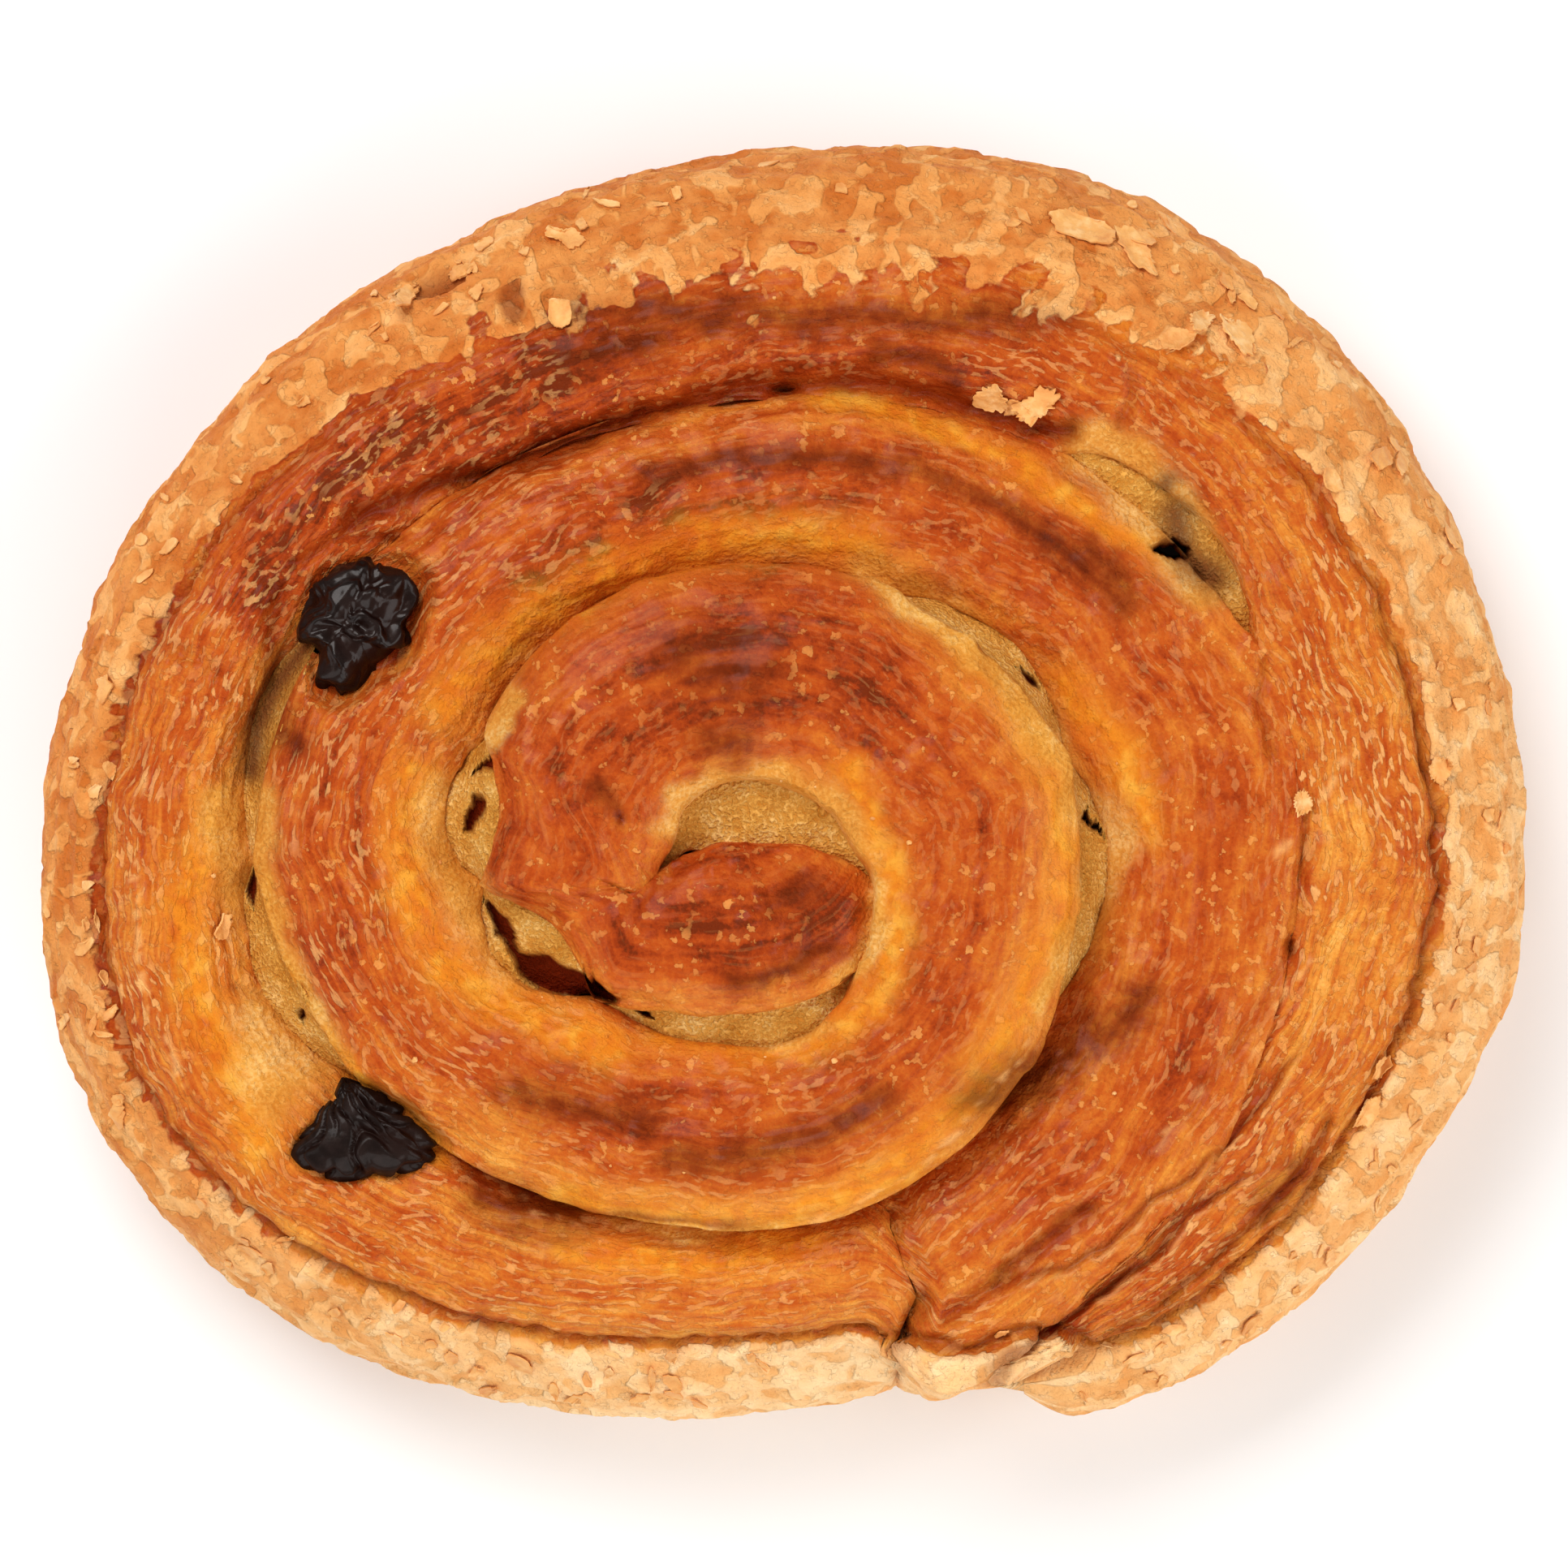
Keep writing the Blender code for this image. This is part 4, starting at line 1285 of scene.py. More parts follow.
def raisin_piece(name, outline, height, half_height, stalk):
    """A ball drawn out to a raisin's outline and wrinkled."""
    bpy.ops.mesh.primitive_ico_sphere_add(subdivisions=6, radius=1.0)
    piece = bpy.context.object
    piece.name = piece.data.name = name + "_wrinkled"
    ball = points_of(piece)
    reach, middle = outline_reach(np.arctan2(ball[:, 1], ball[:, 0]), outline)
    flat = np.linalg.norm(ball[:, :2], axis=1)
    full = np.column_stack((ball[:, 0] * reach, ball[:, 1] * reach,
                            ball[:, 2] * half_height * (1 + RAISIN_FULLNESS * flat)))
    full[:, :2] += middle
    full[:, 2] += height
    wrinkled, fan = WRINKLES[name]
    fold = wrinkle(full, at(stalk), fan)
    inward = np.array([*middle, height]) - full
    inward /= np.linalg.norm(inward, axis=1)[:, None]
    depth = wrinkled * (1 - fold) + 0.15 * noise(full, 3.0, 108)
    set_points(piece, full + inward * depth[:, None])
    keep_mask(piece, "valley", 1 - fold)
    bpy.ops.object.shade_smooth()
    print(piece.name, "is", (full.max(0) - full.min(0)).round(1), "mm")
    return piece


raisins = {name: raisin_piece(name, *settings) for name, settings in RAISINS.items()}

# %% [markdown]
# ## Node groups
# Effects that several materials share are node groups: a mottling that turns noise into patches
# with soft or hard edges, and furrows that read the UV map, whose axes run along and across the
# strip. A group hands out only a mask. The Principled shader stays in each material.

# %% Helpers for nodes
def srgb(red, green, blue):
    """A colour as the eye reads it, 0 to 255, turned into the linear numbers a shader takes."""
    parts = [c / 255 for c in (red, green, blue)]
    linear = [c / 12.92 if c < 0.04045 else ((c + 0.055) / 1.055) ** 2.4 for c in parts]
    return (*linear, 1.0)


def feed(node, inputs):
    """Gives each input of a node, by name or number, a plain value or the socket before it."""
    for key, value in inputs.items():
        if isinstance(value, bpy.types.NodeSocket):
            node.id_data.links.new(value, node.inputs[key])
        else:
            node.inputs[key].default_value = value


def add_node(tree, kind, inputs=None, **settings):
    """A new node with its settings and inputs."""
    node = tree.nodes.new(kind)
    for key, value in settings.items():
        setattr(node, key, value)
    feed(node, inputs or {})
    return node


def math_node(tree, operation, a, b=0.0, clamp=False):
    """The result of one sum; a and b are numbers or sockets."""
    return add_node(tree, "ShaderNodeMath", {0: a, 1: b}, operation=operation,
                    use_clamp=clamp).outputs[0]


def weighted(tree, *terms):
    """The sum of masks times weights, given as pairs; a plain number is added as it is."""
    total = None
    for term in terms:
        part = term if isinstance(term, float) else math_node(tree, "MULTIPLY", *term)
        total = part if total is None else math_node(tree, "ADD", total, part)
    return total


print("mid grey is", [round(c, 3) for c in srgb(128, 128, 128)])

# %% Helpers for colours and surfaces
def spread(tree, value, low, high, to_low=0.0, to_high=1.0, kind="LINEAR"):
    """A value that runs from low to high, drawn out to run from to_low to to_high."""
    return add_node(tree, "ShaderNodeMapRange", {
        "Value": value, "From Min": low, "From Max": high, "To Min": to_low,
        "To Max": to_high}, interpolation_type=kind).outputs["Result"]


def mix_colours(tree, share, a, b):
    """Colour a where share is 0 and colour b where it is 1."""
    return add_node(tree, "ShaderNodeMix", {"Factor": share, 6: a, 7: b},
                    data_type="RGBA", blend_type="MIX").outputs[2]


def ramp(tree, share, stops):
    """A colour for each share from 0 to 1, from stops of a place and a colour."""
    node = add_node(tree, "ShaderNodeValToRGB", {0: share})
    elements = node.color_ramp.elements
    while len(elements) < len(stops):
        elements.new(0.5)
    for element, (place, colour) in zip(elements, stops):
        element.position, element.color = place, srgb(*colour)
    return node.outputs[0]


def attribute(tree, name):
    """One of the masks kept on the mesh."""
    return add_node(tree, "ShaderNodeAttribute", attribute_name=name).outputs["Fac"]


def bumped(tree, height, distance, strength):
    """The surface's normal, tilted by a height pattern; distance is in metres."""
    return add_node(tree, "ShaderNodeBump", {
        "Height": height, "Distance": distance, "Strength": strength}).outputs["Normal"]


def start_material(name, colour, roughness):
    """A plain material, its tree, its shader and its Object coordinates."""
    material = plain_material(name, colour, roughness)
    tree = material.node_tree
    place = add_node(tree, "ShaderNodeTexCoord").outputs["Object"]
    return material, tree, tree.nodes["Principled BSDF"], place


print("helpers for colours and surfaces are ready")

# %% The shared groups
def new_group(name, inputs):
    """A node group with the given inputs, as (name, kind, value), and one output, Mask."""
    tree = bpy.data.node_groups.new(name, "ShaderNodeTree")
    for label, kind, value in inputs:
        socket = tree.interface.new_socket(label, in_out="INPUT", socket_type="NodeSocket" + kind)
        if value is not None:
            socket.default_value = value
    tree.interface.new_socket("Mask", in_out="OUTPUT", socket_type="NodeSocketFloat")
    return tree, tree.nodes.new("NodeGroupInput").outputs, tree.nodes.new("NodeGroupOutput")


def mottle_group():
    """Patches of noise: Size in metres, Low and High where they begin and are full."""
    tree, given, out = new_group("mottle", (
        ("Vector", "Vector", None), ("Size", "Float", 0.002), ("Detail", "Float", 3.0),
        ("Low", "Float", 0.4), ("High", "Float", 0.6)))
    scale = math_node(tree, "DIVIDE", 1.0, given["Size"])
    lumps = add_node(tree, "ShaderNodeTexNoise", {
        "Vector": given["Vector"], "Scale": scale, "Detail": given["Detail"]})
    feed(out, {"Mask": spread(tree, lumps.outputs["Fac"], given["Low"], given["High"],
                              kind="SMOOTHSTEP")})
    return tree


def furrow_group():
    """Streaks along the strip: Length and Width of one in metres, Low and High as for mottling."""
    tree, given, out = new_group("furrows", (
        ("Vector", "Vector", None), ("Length", "Float", 0.006), ("Width", "Float", 0.0004),
        ("Low", "Float", 0.3), ("High", "Float", 0.7)))
    parts = add_node(tree, "ShaderNodeSeparateXYZ", {0: given["Vector"]})
    along = math_node(tree, "DIVIDE", parts.outputs[0], given["Length"])
    across = math_node(tree, "DIVIDE", parts.outputs[1], given["Width"])
    place = add_node(tree, "ShaderNodeCombineXYZ", {0: along, 1: across})
    lines = add_node(tree, "ShaderNodeTexNoise", {
        "Vector": place.outputs[0], "Scale": 1.0, "Detail": 2.0, "Roughness": 0.45})
    feed(out, {"Mask": spread(tree, lines.outputs["Fac"], given["Low"], given["High"],
                              kind="SMOOTHSTEP")})
    return tree


MOTTLE, FURROW = mottle_group(), furrow_group()


def use_group(tree, group, inputs):
    """The mask that a shared group gives for these inputs."""
    return add_node(tree, "ShaderNodeGroup", inputs, node_tree=group).outputs["Mask"]


def mottled(tree, place, size, low, high, detail=3.0):
    """Patches of a size in metres; detail adds finer noise to their edges."""
    return use_group(tree, MOTTLE, {"Vector": place, "Size": size, "Low": low, "High": high,
                                    "Detail": detail})


print("groups:", [g.name for g in bpy.data.node_groups])

# %% [markdown]
# ## Baked dough
# One material covers the whole strip. The browning kept on the mesh is shifted a little by coarse
# and fine mottling and by the furrows, and a colour ramp turns it into gold, orange or brown. A
# second ramp colours the bare crust, which was never washed with egg and stays pale and matt.
# Custard, burnt spots, stains and painted shade in the grooves, holes and pits are mixed over them.

# %% Tones of the dough
GLAZED = ((0.0, (238, 172, 84)), (0.2, (222, 142, 54)), (0.4, (205, 114, 38)),
          (0.6, (188, 86, 26)), (0.75, (174, 68, 18)), (0.9, (148, 50, 12)), (1.0, (110, 36, 8)))
BARE = ((0.0, (200, 108, 42)), (0.3, (226, 148, 76)), (0.6, (242, 180, 112)),
        (1.0, (254, 214, 160)))
GOLD_TONES = ((0.0, (202, 96, 18)), (0.5, (224, 134, 28)), (1.0, (240, 172, 60)))
CREAM_TONES = ((0.0, (192, 118, 34)), (0.5, (222, 158, 70)), (1.0, (244, 202, 126)))
# the last of these tones is painted shade, for grooves, holes, pits, the feet of folds and the lip
# groove
BURNT_AND_SHADE_TONE, STAIN_TONE, PAINTED_SHADE_TONE = srgb(92, 28, 3), srgb(98, 44, 24), srgb(124, 34, 2)
# painted shade for the holes in the custard
HOLE_SHADE_TONE = srgb(112, 28, 1)
# the second tone paints the pale edges of layers and ridges, and the painted highlight on the edge
# of a fold
FRECKLE_TONE, PALE_LAYER_AND_HIGHLIGHT_TONE = srgb(236, 162, 84), srgb(244, 184, 112)
TORN_LOW, TORN_HIGH, TORN_BY_TOAST = 0.455, 0.503, 0.06  # less is torn where the crust is brown


def patterns(tree, place, uv):
    """The patterns that colour and bump share, by name."""
    def streaked(length, width, low, high):
        """Streaks along the strip."""
        return use_group(tree, FURROW, {"Vector": wavy, "Length": length, "Width": width,
                                        "Low": low, "High": high})

    # moves the streaks by up to 1.5 mm, so that none of them runs straight
    wander = add_node(tree, "ShaderNodeTexNoise", {"Vector": place, "Scale": 160.0, "Detail": 1.0})
    shift = wander.outputs["Color"]
    for operation, amount in (("ADD", (-0.5, -0.5, -0.5)), ("MULTIPLY", (0.003, 0.003, 0.0))):
        shift = add_node(tree, "ShaderNodeVectorMath", {0: shift, 1: amount},
                         operation=operation).outputs[0]
    wavy = add_node(tree, "ShaderNodeVectorMath", {0: uv, 1: shift}).outputs[0]
    toast = attribute(tree, "bake")
    # metres: the size of a patch or the length and width of a streak; then its low and high
    return {
        "coarse": mottled(tree, place, 0.0045, 0.32, 0.68),
        "fine": mottled(tree, place, 0.0014, 0.34, 0.66, 4.0),
        "bands": streaked(0.0160, 0.0016, 0.3, 0.7),
        "grain": mottled(tree, place, 0.0003, 0.3, 0.7),
        "freckles": mottled(tree, place, 0.0009, 0.595, 0.62, 4.0),
        "specks": mottled(tree, place, 0.0009, 0.62, 0.65, 2.0),
        "torn": streaked(0.0022, 0.0036, weighted(tree, (toast, TORN_BY_TOAST), TORN_LOW),
                         weighted(tree, (toast, TORN_BY_TOAST), TORN_HIGH)),
        "chips": mottled(tree, place, 0.0008, 0.58, 0.61, 4.0),
        "streaks": streaked(0.0045, 0.0007, 0.3, 0.7),
        "dashes": streaked(0.0013, 0.00048, 0.52, 0.59),
        "lines": streaked(0.0090, 0.00045, 0.42, 0.58),
    }


print(len(GLAZED), "tones from gold to brown,", len(BARE), "of the bare crust")

# %% Colour of the dough
def glazed_colour(tree, read, seen):
    """The egg-washed cut top: browned, with pale freckles and the pale edges of its layers."""
    lines = math_node(tree, "MULTIPLY", seen["lines"], read["comb"])
    browning = weighted(tree, (read["bake"], 1.0), (seen["coarse"], 0.18), (seen["fine"], 0.14),
                        (seen["bands"], 0.20), (seen["grain"], 0.10), (read["sheet"], 0.10),
                        (lines, -0.16), -0.35)
    colour = ramp(tree, browning, GLAZED)
    specks = math_node(tree, "MULTIPLY", seen["specks"], 0.7)
    flecked = math_node(tree, "MAXIMUM", seen["freckles"], specks)
    clusters = weighted(tree, (seen["coarse"], -0.9), (read["blister"], 0.3),
                        (read["burnt"], -0.5), 0.85)
    clustered = math_node(tree, "MULTIPLY", flecked, clusters)
    freckled = math_node(tree, "MULTIPLY", clustered, 0.6, clamp=True)
    colour = mix_colours(tree, freckled, colour, FRECKLE_TONE)
    patchy = math_node(tree, "MULTIPLY", read["comb"],
                       weighted(tree, (seen["coarse"], 0.65), (read["burnt"], -0.45)))
    layered = math_node(tree, "MULTIPLY", seen["dashes"], patchy)
    return mix_colours(tree, layered, colour, PALE_LAYER_AND_HIGHLIGHT_TONE)


def dough_colour(tree, read, seen):
    """Glaze, golden flanks, bare crust and custard, and over them the marks with their painted
    shade.
    """
    colour = glazed_colour(tree, read, seen)
    gold = ramp(tree, weighted(tree, (seen["fine"], 0.5), (seen["coarse"], 0.5)), GOLD_TONES)
    colour = mix_colours(tree, math_node(tree, "MULTIPLY", read["gold"], 0.8), colour, gold)
    bare = weighted(tree, (seen["coarse"], 0.24), (seen["torn"], 0.24), (seen["chips"], 0.10),
                    (seen["fine"], 0.12), (read["bake"], -0.50), 0.42)
    colour = mix_colours(tree, seen["crust"], colour, ramp(tree, bare, BARE))
    cream = weighted(tree, (seen["grain"], 0.4), (seen["coarse"], 0.5), 0.02)
    colour = mix_colours(tree, math_node(tree, "MULTIPLY", read["cream"], 0.85), colour,
                         ramp(tree, cream, CREAM_TONES))
    # the burnt tone also darkens one groove, as painted shade
    charred = weighted(tree, (seen["bands"], 0.26), (seen["fine"], 0.20), 0.42)
    # the last mix paints shade into the grooves, holes, pits, feet of folds and the lip groove
    for name, strength, tone in (("burnt", charred, BURNT_AND_SHADE_TONE), ("stain", 0.8, STAIN_TONE),
                                 ("pale", 0.55, PALE_LAYER_AND_HIGHLIGHT_TONE), ("shade", 0.85, PAINTED_SHADE_TONE)):
        colour = mix_colours(tree, math_node(tree, "MULTIPLY", read[name], strength), colour, tone)
    return colour


print("the burnt tone is", [round(c, 3) for c in BURNT_AND_SHADE_TONE])

# %% Dough material
def dough_material():
    """The finish of the whole strip: glossy where washed with egg, matt on crust and custard."""
    material, tree, shader, place = start_material("baked_dough", (0.6, 0.2, 0.05), 0.4)
    seen = patterns(tree, place, add_node(tree, "ShaderNodeUVMap").outputs["UV"])
    read = {name: attribute(tree, name) for name in MASK_NAMES}
    ragged = weighted(tree, (read["crust"], 1.0), (seen["torn"], 0.3), (seen["fine"], 0.3), -0.3)
    seen["crust"] = spread(tree, ragged, 0.4, 0.6)
    matt = math_node(tree, "MAXIMUM", seen["crust"], read["cream"])
    peeled = weighted(tree, (seen["torn"], 1.0), (seen["chips"], 0.6))
    torn = math_node(tree, "MULTIPLY", seen["crust"], peeled)
    combed = math_node(tree, "MULTIPLY", read["comb"], seen["dashes"])
    height = weighted(tree, (torn, 1.0), (combed, 0.6), (seen["freckles"], 0.35),
                      (seen["fine"], 0.8), (seen["grain"], 0.4), (seen["streaks"], 0.2))
    feed(shader, {
        "Base Color": dough_colour(tree, read, seen),
        "Roughness": spread(tree, matt, 0.0, 1.0, 0.45, 0.7),
        "Specular IOR Level": 0.12, "Specular Tint": (1.0, 0.55, 0.25, 1.0),
        "Coat Weight": spread(tree, matt, 0.0, 1.0, 0.18, 0.02),
        "Coat Roughness": 0.24, "Coat IOR": 1.35,
        "Normal": bumped(tree, height, 0.00016, 0.9)})
    return material


DOUGH_FINISH = dough_material()
print(DOUGH_FINISH.name, "has", len(DOUGH_FINISH.node_tree.nodes), "nodes")

# %% [markdown]
# ## Custard and raisin finishes
# Custard is matt and grainy, yellower where thick. The holes in it fall away, and their dark
# red-brown is painted shade. A raisin is nearly black, and what the eye sees of it is mostly the
# light on its folds, so it has a clear coat, and its valleys are a little redder.

# %% Custard and raisin materials
def custard_material():
    """Matt, grainy and yellow-brown, with painted shade in its holes."""
    material, tree, shader, place = start_material("custard", (0.6, 0.4, 0.15), 0.6)
    grain = mottled(tree, place, 0.0003, 0.32, 0.68)
    patch = mottled(tree, place, 0.003, 0.3, 0.7)
    tone = weighted(tree, (grain, 0.4), (patch, 0.5))
    stained = math_node(tree, "MULTIPLY", attribute(tree, "stain"), 0.85)
    colour = mix_colours(tree, stained, ramp(tree, tone, CREAM_TONES), STAIN_TONE)
    feed(shader, {
        # the holes are painted with shade
        "Base Color": mix_colours(tree, attribute(tree, "shade"), colour, HOLE_SHADE_TONE),
        "Specular IOR Level": 0.15, "Specular Tint": (1.0, 0.7, 0.45, 1.0),
        "Normal": bumped(tree, grain, 0.0002, 0.9)})
    return material


def raisin_material(name, roughness, coat):
    """Nearly black skin; coat is how much light its surface throws back."""
    material, tree, shader, place = start_material(name, (0.01, 0.008, 0.008), roughness)
    patch = mottled(tree, place, 0.0012, 0.35, 0.65)
    skin = mix_colours(tree, patch, srgb(12, 5, 4), srgb(28, 18, 16))
    valley = math_node(tree, "MULTIPLY", attribute(tree, "valley"), 0.7)
    feed(shader, {
        "Base Color": mix_colours(tree, valley, skin, srgb(26, 6, 2)),
        "Coat Weight": coat, "Coat Roughness": 0.15, "Coat Tint": (1.0, 0.86, 0.8, 1.0),
        "Specular IOR Level": 0.12, "Specular Tint": (1.0, 0.8, 0.7, 1.0),
        "Normal": bumped(tree, patch, 0.0001, 0.4)})
    return material


CUSTARD_FINISH = custard_material()
GLOSSY_RAISIN = raisin_material("raisin_glossy", 0.42, 0.28)
SATIN_RAISIN = raisin_material("raisin_satin", 0.5, 0.12)
print("materials:", [m.name for m in bpy.data.materials])

# %% [markdown]
# ## Flakes and crumbs
# Where the outermost layer of the dough broke in the oven, thin flakes stand up from the crust. A
# flake is a grid primitive drawn into a torn shape, laid on the dough by casting rays down on it,
# curled up at its edge and given its thickness by a Solidify modifier. The large ones lie where
# the photograph has them. The small ones are scattered over the crust by a seeded draw and joined
# into one piece, and so are the crumbs.

# %% The dough as a target for rays
RAY_START = 0.05  # metres, above the highest turn


def ray_target(pieces):
    """One tree of all the faces of some pieces, to find the surface under a place."""
    points, faces = [], []
    for piece in pieces:
        start = len(points)
        points.extend(points_of(piece).tolist())
        faces.extend([start + v for v in p.vertices] for p in piece.data.polygons)
    return BVHTree.FromPolygons(points, faces)


def surface_under(x, y):
    """Height in mm and normal of the dough under a place in mm; None where there is none."""
    above = Vector((x * MM, y * MM, RAY_START))
    hit, normal, _, _ = DOUGH_TREE.ray_cast(above, Vector((0, 0, -1)))
    return (hit.z / MM, normal) if hit else (None, None)


DOUGH_TREE = ray_target([roll, outer_turn])
print("height under the middle, mm:", round(surface_under(0.0, 0.0)[0], 1))

# %% Places of the flakes
FLAKE_THICKNESS = 0.14  # mm
FLAKE_SQUARES = 14  # on each side of its grid
FLAKE_LIFT = 0.05  # mm over the dough
FLAKE_SAG = 1.5  # mm, the deepest dip of the dough that a flake follows
FLAKE_CLING = 0.4  # how closely it follows it
FLAKE_STEEPEST = 0.35  # height of the normal of the steepest dough that it is laid flat on
# pixel, length and width in mm, turn in degrees, how far its edge curls up in mm
FLAKES = (
    ((697, 398), 4.2, 2.2, 80, 0.5),
    ((1220, 500), 3.4, 2.1, -25, 0.4),
    ((1245, 511), 2.4, 1.4, -10, 0.45),
    ((1274, 509), 3.8, 2.6, 20, 0.5),
    ((1592, 985), 2.4, 2.0, 60, 0.5),
    ((1692, 570), 2.0, 1.6, 30, 0.4),
    ((286, 1140), 2.2, 1.1, 75, 0.4),
    ((1330, 288), 6.0, 2.6, -25, 0.5),
    ((1395, 318), 5.0, 2.4, -40, 0.5),
    ((1440, 428), 3.4, 2.2, 50, 0.5),
    ((1515, 418), 3.6, 2.0, -60, 0.6),
    ((1470, 405), 3.0, 1.8, 10, 0.5),
    ((1672, 1365), 3.0, 1.6, 60, 0.5),
    ((1690, 1310), 2.4, 1.4, 75, 0.4),
    ((505, 372), 3.0, 1.6, 30, 0.5),
    ((575, 342), 2.4, 1.3, 20, 0.4),
    ((1625, 600), 2.6, 1.6, -50, 0.5),
    ((700, 300), 3.0, 1.8, -20, 0.4),
    ((1760, 950), 2.6, 1.8, 70, 0.4),
    ((140, 850), 2.6, 1.8, 70, 0.4),
    ((1230, 1631), 1.1, 0.6, 20, 0.2),
)


print(len(FLAKES), "large flakes")

# %% Making flakes
def torn_shape(squares, seed):
    """Points of a square grid drawn into a torn outline, how far out each is and its angle."""
    draw = np.random.default_rng(seed)
    side = np.linspace(-1, 1, squares + 1)
    x, y = (a.ravel() for a in np.meshgrid(side, side))
    angle = np.arctan2(y, x)
    out = np.maximum(np.abs(x), np.abs(y))
    corners = np.linspace(-math.pi, math.pi, 9)[:-1] + draw.uniform(0.0, 0.6, 8)
    radii = draw.uniform(0.5, 1.15, 8)
    k = np.searchsorted(corners, angle) % 8
    a, b = radii[k - 1], radii[k]
    before, after = (angle - corners[k - 1]) % (2 * math.pi), (corners[k] - angle) % (2 * math.pi)
    straight = a * b * np.sin(before + after) / (a * np.sin(before) + b * np.sin(after) + 1e-6)
    ragged = sum(draw.normal(0, 0.03) * np.cos(waves * angle + draw.uniform(0, 6.3))
                 for waves in (9, 14, 19))
    reach = out * (straight + ragged)
    return np.column_stack((np.cos(angle) * reach, np.sin(angle) * reach)), out, angle


def lay_flake(name, place, length, width, turn, curl, squares, seed):
    """A flake that follows the dough under it and curls up at its edge; None where it misses."""
    shape, out, angle = torn_shape(squares, seed)
    a = math.radians(turn)
    shape = shape * (length / 2, width / 2) @ np.array(((math.cos(a), math.sin(a)),
                                                        (-math.sin(a), math.cos(a))))
    middle = surface_under(*place)
    if middle[0] is None:
        return None
    normal = np.array(middle[1])
    points = np.column_stack((place + shape, np.full(len(shape), middle[0])))
    points[:, 2] -= (shape @ normal[:2]) / max(normal[2], FLAKE_STEEPEST)
    heights = [surface_under(x, y)[0] for x, y, _ in points]
    curled = 0.5 * out**3 * curl * (1 + np.cos(angle + seed))
    for i, height in enumerate(heights):
        if height is not None and abs(height - points[i, 2]) < FLAKE_SAG:
            followed = FLAKE_CLING * height + (1 - FLAKE_CLING) * points[i, 2]
            points[i, 2] = max(height, followed)
    points[:, 2] += FLAKE_LIFT + curled
    bpy.ops.mesh.primitive_grid_add(x_subdivisions=squares, y_subdivisions=squares, size=1.0)
    flake = bpy.context.object
    flake.name = flake.data.name = name
    set_points(flake, points)
    return flake


def thicken(piece, thickness):
    """Gives a piece its thickness in mm and shades it smooth but for its edges."""
    solid = piece.modifiers.new("thickness", "SOLIDIFY")
    solid.thickness, solid.offset = thickness * MM, 1.0
    select_only(piece)
    bpy.ops.object.modifier_apply(modifier=solid.name)
    bpy.ops.object.shade_smooth_by_angle(angle=math.radians(40))


def join_all(pieces, name):
    """Several pieces made into one."""
    select_only(*pieces)
    bpy.ops.object.join()
    joined = bpy.context.object
    joined.name = joined.data.name = name
    return joined


large = [lay_flake("flake", at(pixel), length, width, turn, curl, FLAKE_SQUARES, 200 + i)
         for i, (pixel, length, width, turn, curl) in enumerate(FLAKES)]
flakes = join_all([flake for flake in large if flake], "flakes_large")
thicken(flakes, FLAKE_THICKNESS)
print(flakes.name, len(flakes.data.polygons), "faces")

# %% Scattered flakes
SMALL_FLAKES, SMALL_SQUARES, SMALL_THICKNESS = 130, 6, 0.10
SMALL_LENGTH, SMALL_WIDTH, SMALL_CURL = (0.7, 2.4), (0.4, 1.3), (0.05, 0.35)  # mm
CRUST_BAND = (0.6, 5.5)  # mm, how far in from the outline they lie


def scatter_flakes():
    """Small flakes along the crust, most of them lying along the strip."""
    draw = np.random.default_rng(11)
    found = []
    for i in range(SMALL_FLAKES):
        t = draw.uniform(TAIL_SEAM + 0.1, TAIL_END)
        point, normal = spiral(np.array([t]))
        place = point[0] - normal[0] * draw.uniform(*CRUST_BAND)
        turn = math.degrees(math.atan2(-normal[0][0], normal[0][1])) + draw.normal(0, 35)
        length, width, curl = (draw.uniform(*s) for s in (SMALL_LENGTH, SMALL_WIDTH, SMALL_CURL))
        flake = lay_flake("small", place, length, width, turn, curl, SMALL_SQUARES, 400 + i)
        if flake:
            found.append(flake)
    return found


small_flakes = join_all(scatter_flakes(), "flakes_small")
thicken(small_flakes, SMALL_THICKNESS)
print(small_flakes.name, len(small_flakes.data.polygons), "faces")

# %% Crumbs
CRUMBS = 24
CRUMB_SIZES = (0.10, 0.20)  # mm


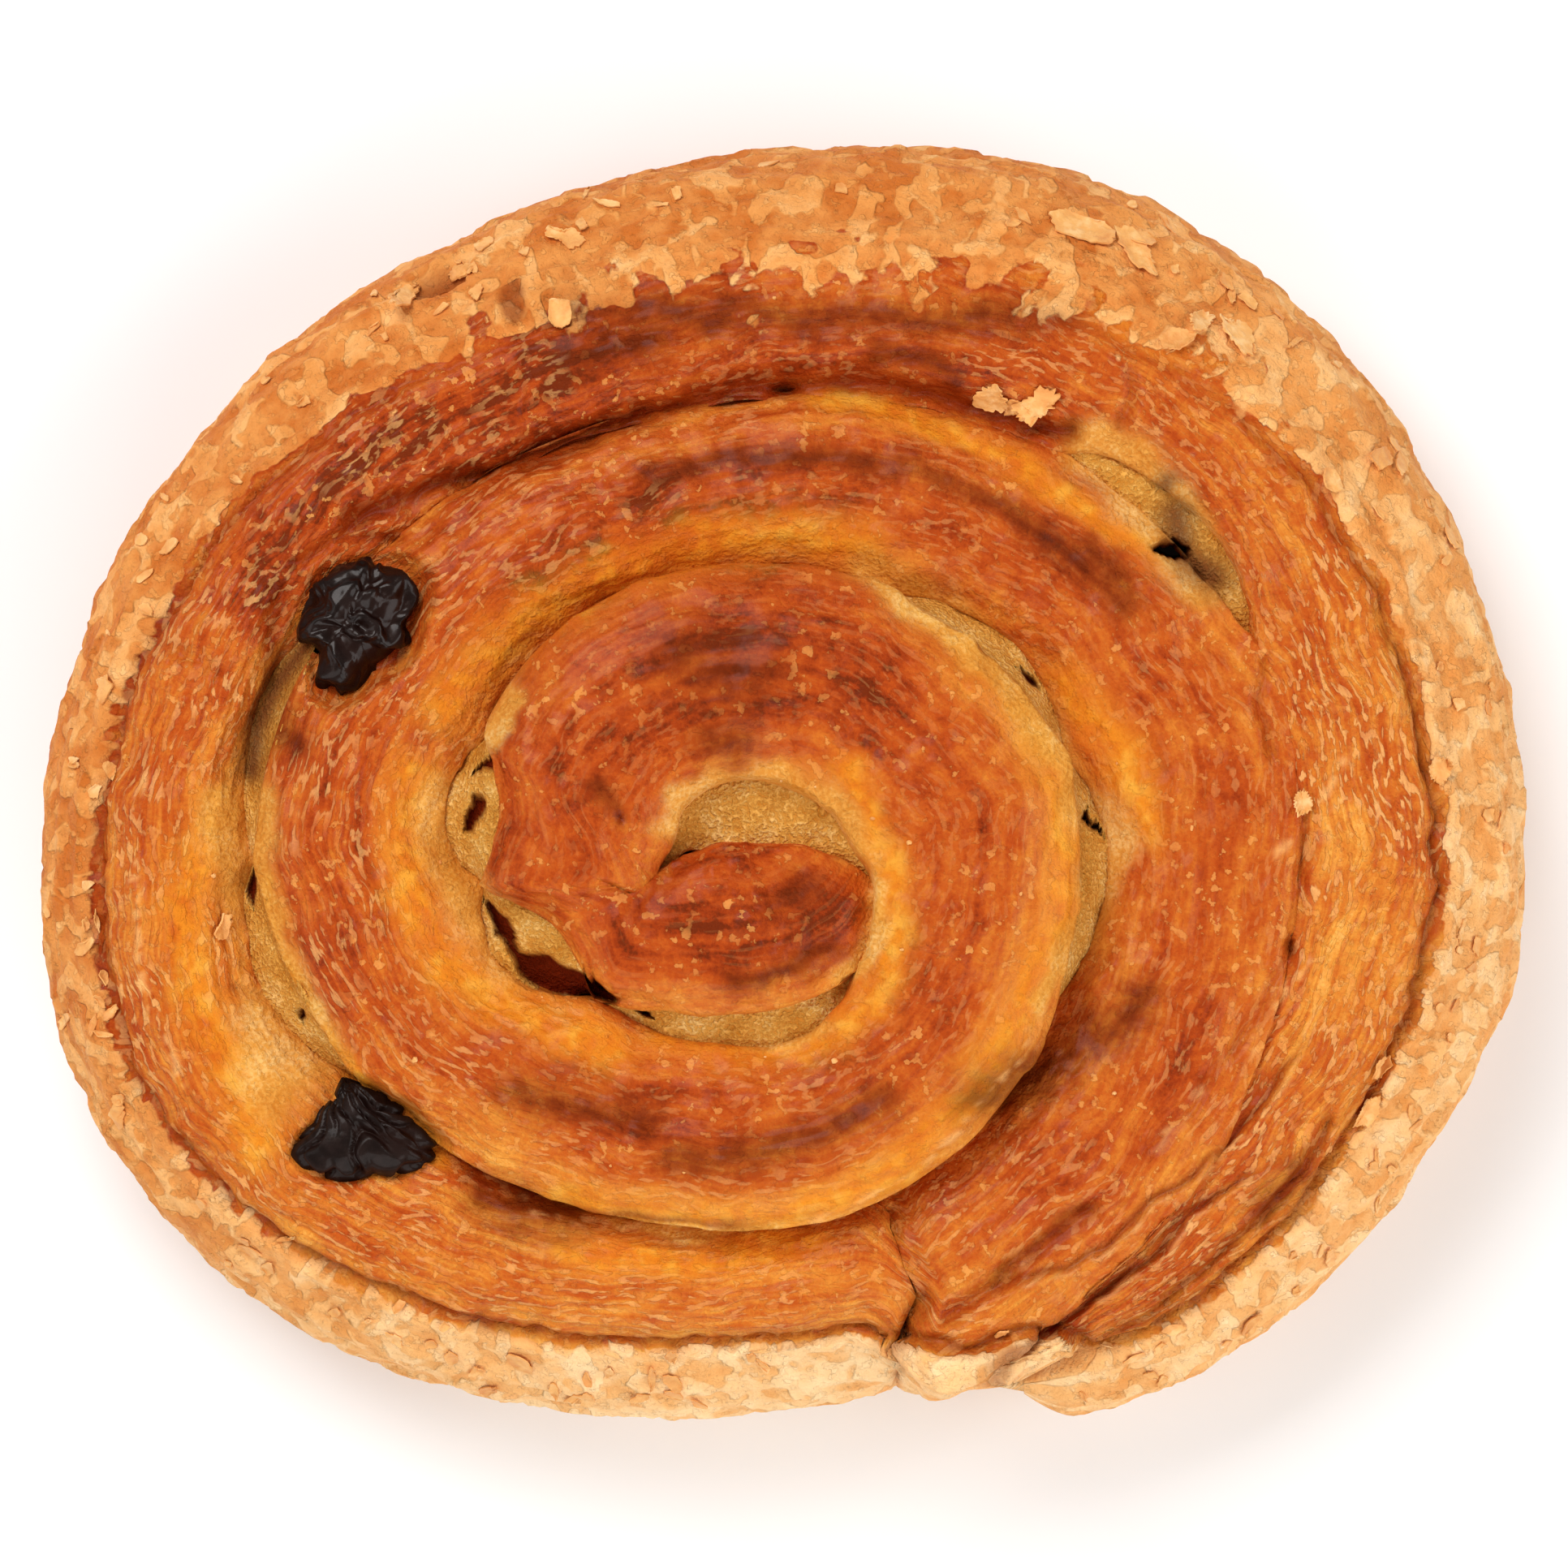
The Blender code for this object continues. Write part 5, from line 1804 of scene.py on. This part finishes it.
def scatter_crumbs():
    """Crumbs on the top of the strip, each a small ball pressed out of shape."""
    draw = np.random.default_rng(12)
    found = []
    for _ in range(CRUMBS):
        tau = draw.uniform(5.0, TAIL_END)
        outer, inner = spiral(tau)[0], spiral(float(inner_station(np.array(tau))))[0]
        x, y = outer + (inner - outer) * draw.uniform(0.1, 0.9)
        height, _ = surface_under(x, y)
        if height is None:
            continue
        size = draw.uniform(*CRUMB_SIZES)
        bpy.ops.mesh.primitive_ico_sphere_add(subdivisions=2, radius=size * MM)
        crumb = bpy.context.object
        co = points_of(crumb) / MM
        co = co * draw.uniform(0.6, 1.4, 3) * (1 + 0.5 * noise(co + 9 * x, size, 7))[:, None]
        set_points(crumb, co + (x, y, height))
        found.append(crumb)
    return found


crumbs = join_all(scatter_crumbs(), "crumbs")
print(crumbs.name, len(crumbs.data.polygons), "faces")

# %% Flake material
FLAKE_TONES = ((0.0, (214, 134, 60)), (0.5, (232, 168, 92)), (1.0, (248, 206, 146)))


def flake_material():
    """Thin, pale and matt, like the bare crust."""
    material, tree, shader, place = start_material("flake", (0.9, 0.6, 0.3), 0.6)
    coarse, fine = mottled(tree, place, 0.0035, 0.3, 0.7), mottled(tree, place, 0.0007, 0.3, 0.7)
    tone = weighted(tree, (coarse, 0.5), (fine, 0.3), 0.02)
    feed(shader, {"Base Color": ramp(tree, tone, FLAKE_TONES),
                  "Normal": bumped(tree, fine, 0.0001, 0.7)})
    return material


FLAKE_FINISH = flake_material()
print(FLAKE_FINISH.name)

# %% [markdown]
# ## Everything in its place
# Each piece gets its finish, rides on the one body of the frame and stands for its solid. Flakes
# and crumbs have no solid, so they replace none.

# %% Finish, ride and replace
def dress(piece, finish, slot, *nodes):
    """Gives a piece its finish, hangs it on the root body and hides the solids that it stands for;
    slot is not used.
    """
    piece.data.materials.clear()
    piece.data.materials.append(finish)
    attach(piece, "root")
    if nodes:
        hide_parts(*nodes)


dress(roll, DOUGH_FINISH, "baked_dough", "dough")
dress(outer_turn, DOUGH_FINISH, "baked_dough", "dough")
dress(custard, CUSTARD_FINISH, "custard", "custard")
dress(raisins["raisin_upper"], GLOSSY_RAISIN, "raisin", "raisin_upper")
dress(raisins["raisin_lower"], SATIN_RAISIN, "raisin", "raisin_lower")
for piece in (flakes, small_flakes, crumbs):
    dress(piece, FLAKE_FINISH, "baked_dough")
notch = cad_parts["raisin_notch"]
notch.data.materials.clear()
notch.data.materials.append(SATIN_RAISIN)

SIZE_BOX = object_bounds()
for label, box in (("CAD", CAD_BOX), ("dressed", SIZE_BOX)):
    print(label, "box, mm:", [[round(c / MM, 2) for c in corner] for corner in box])
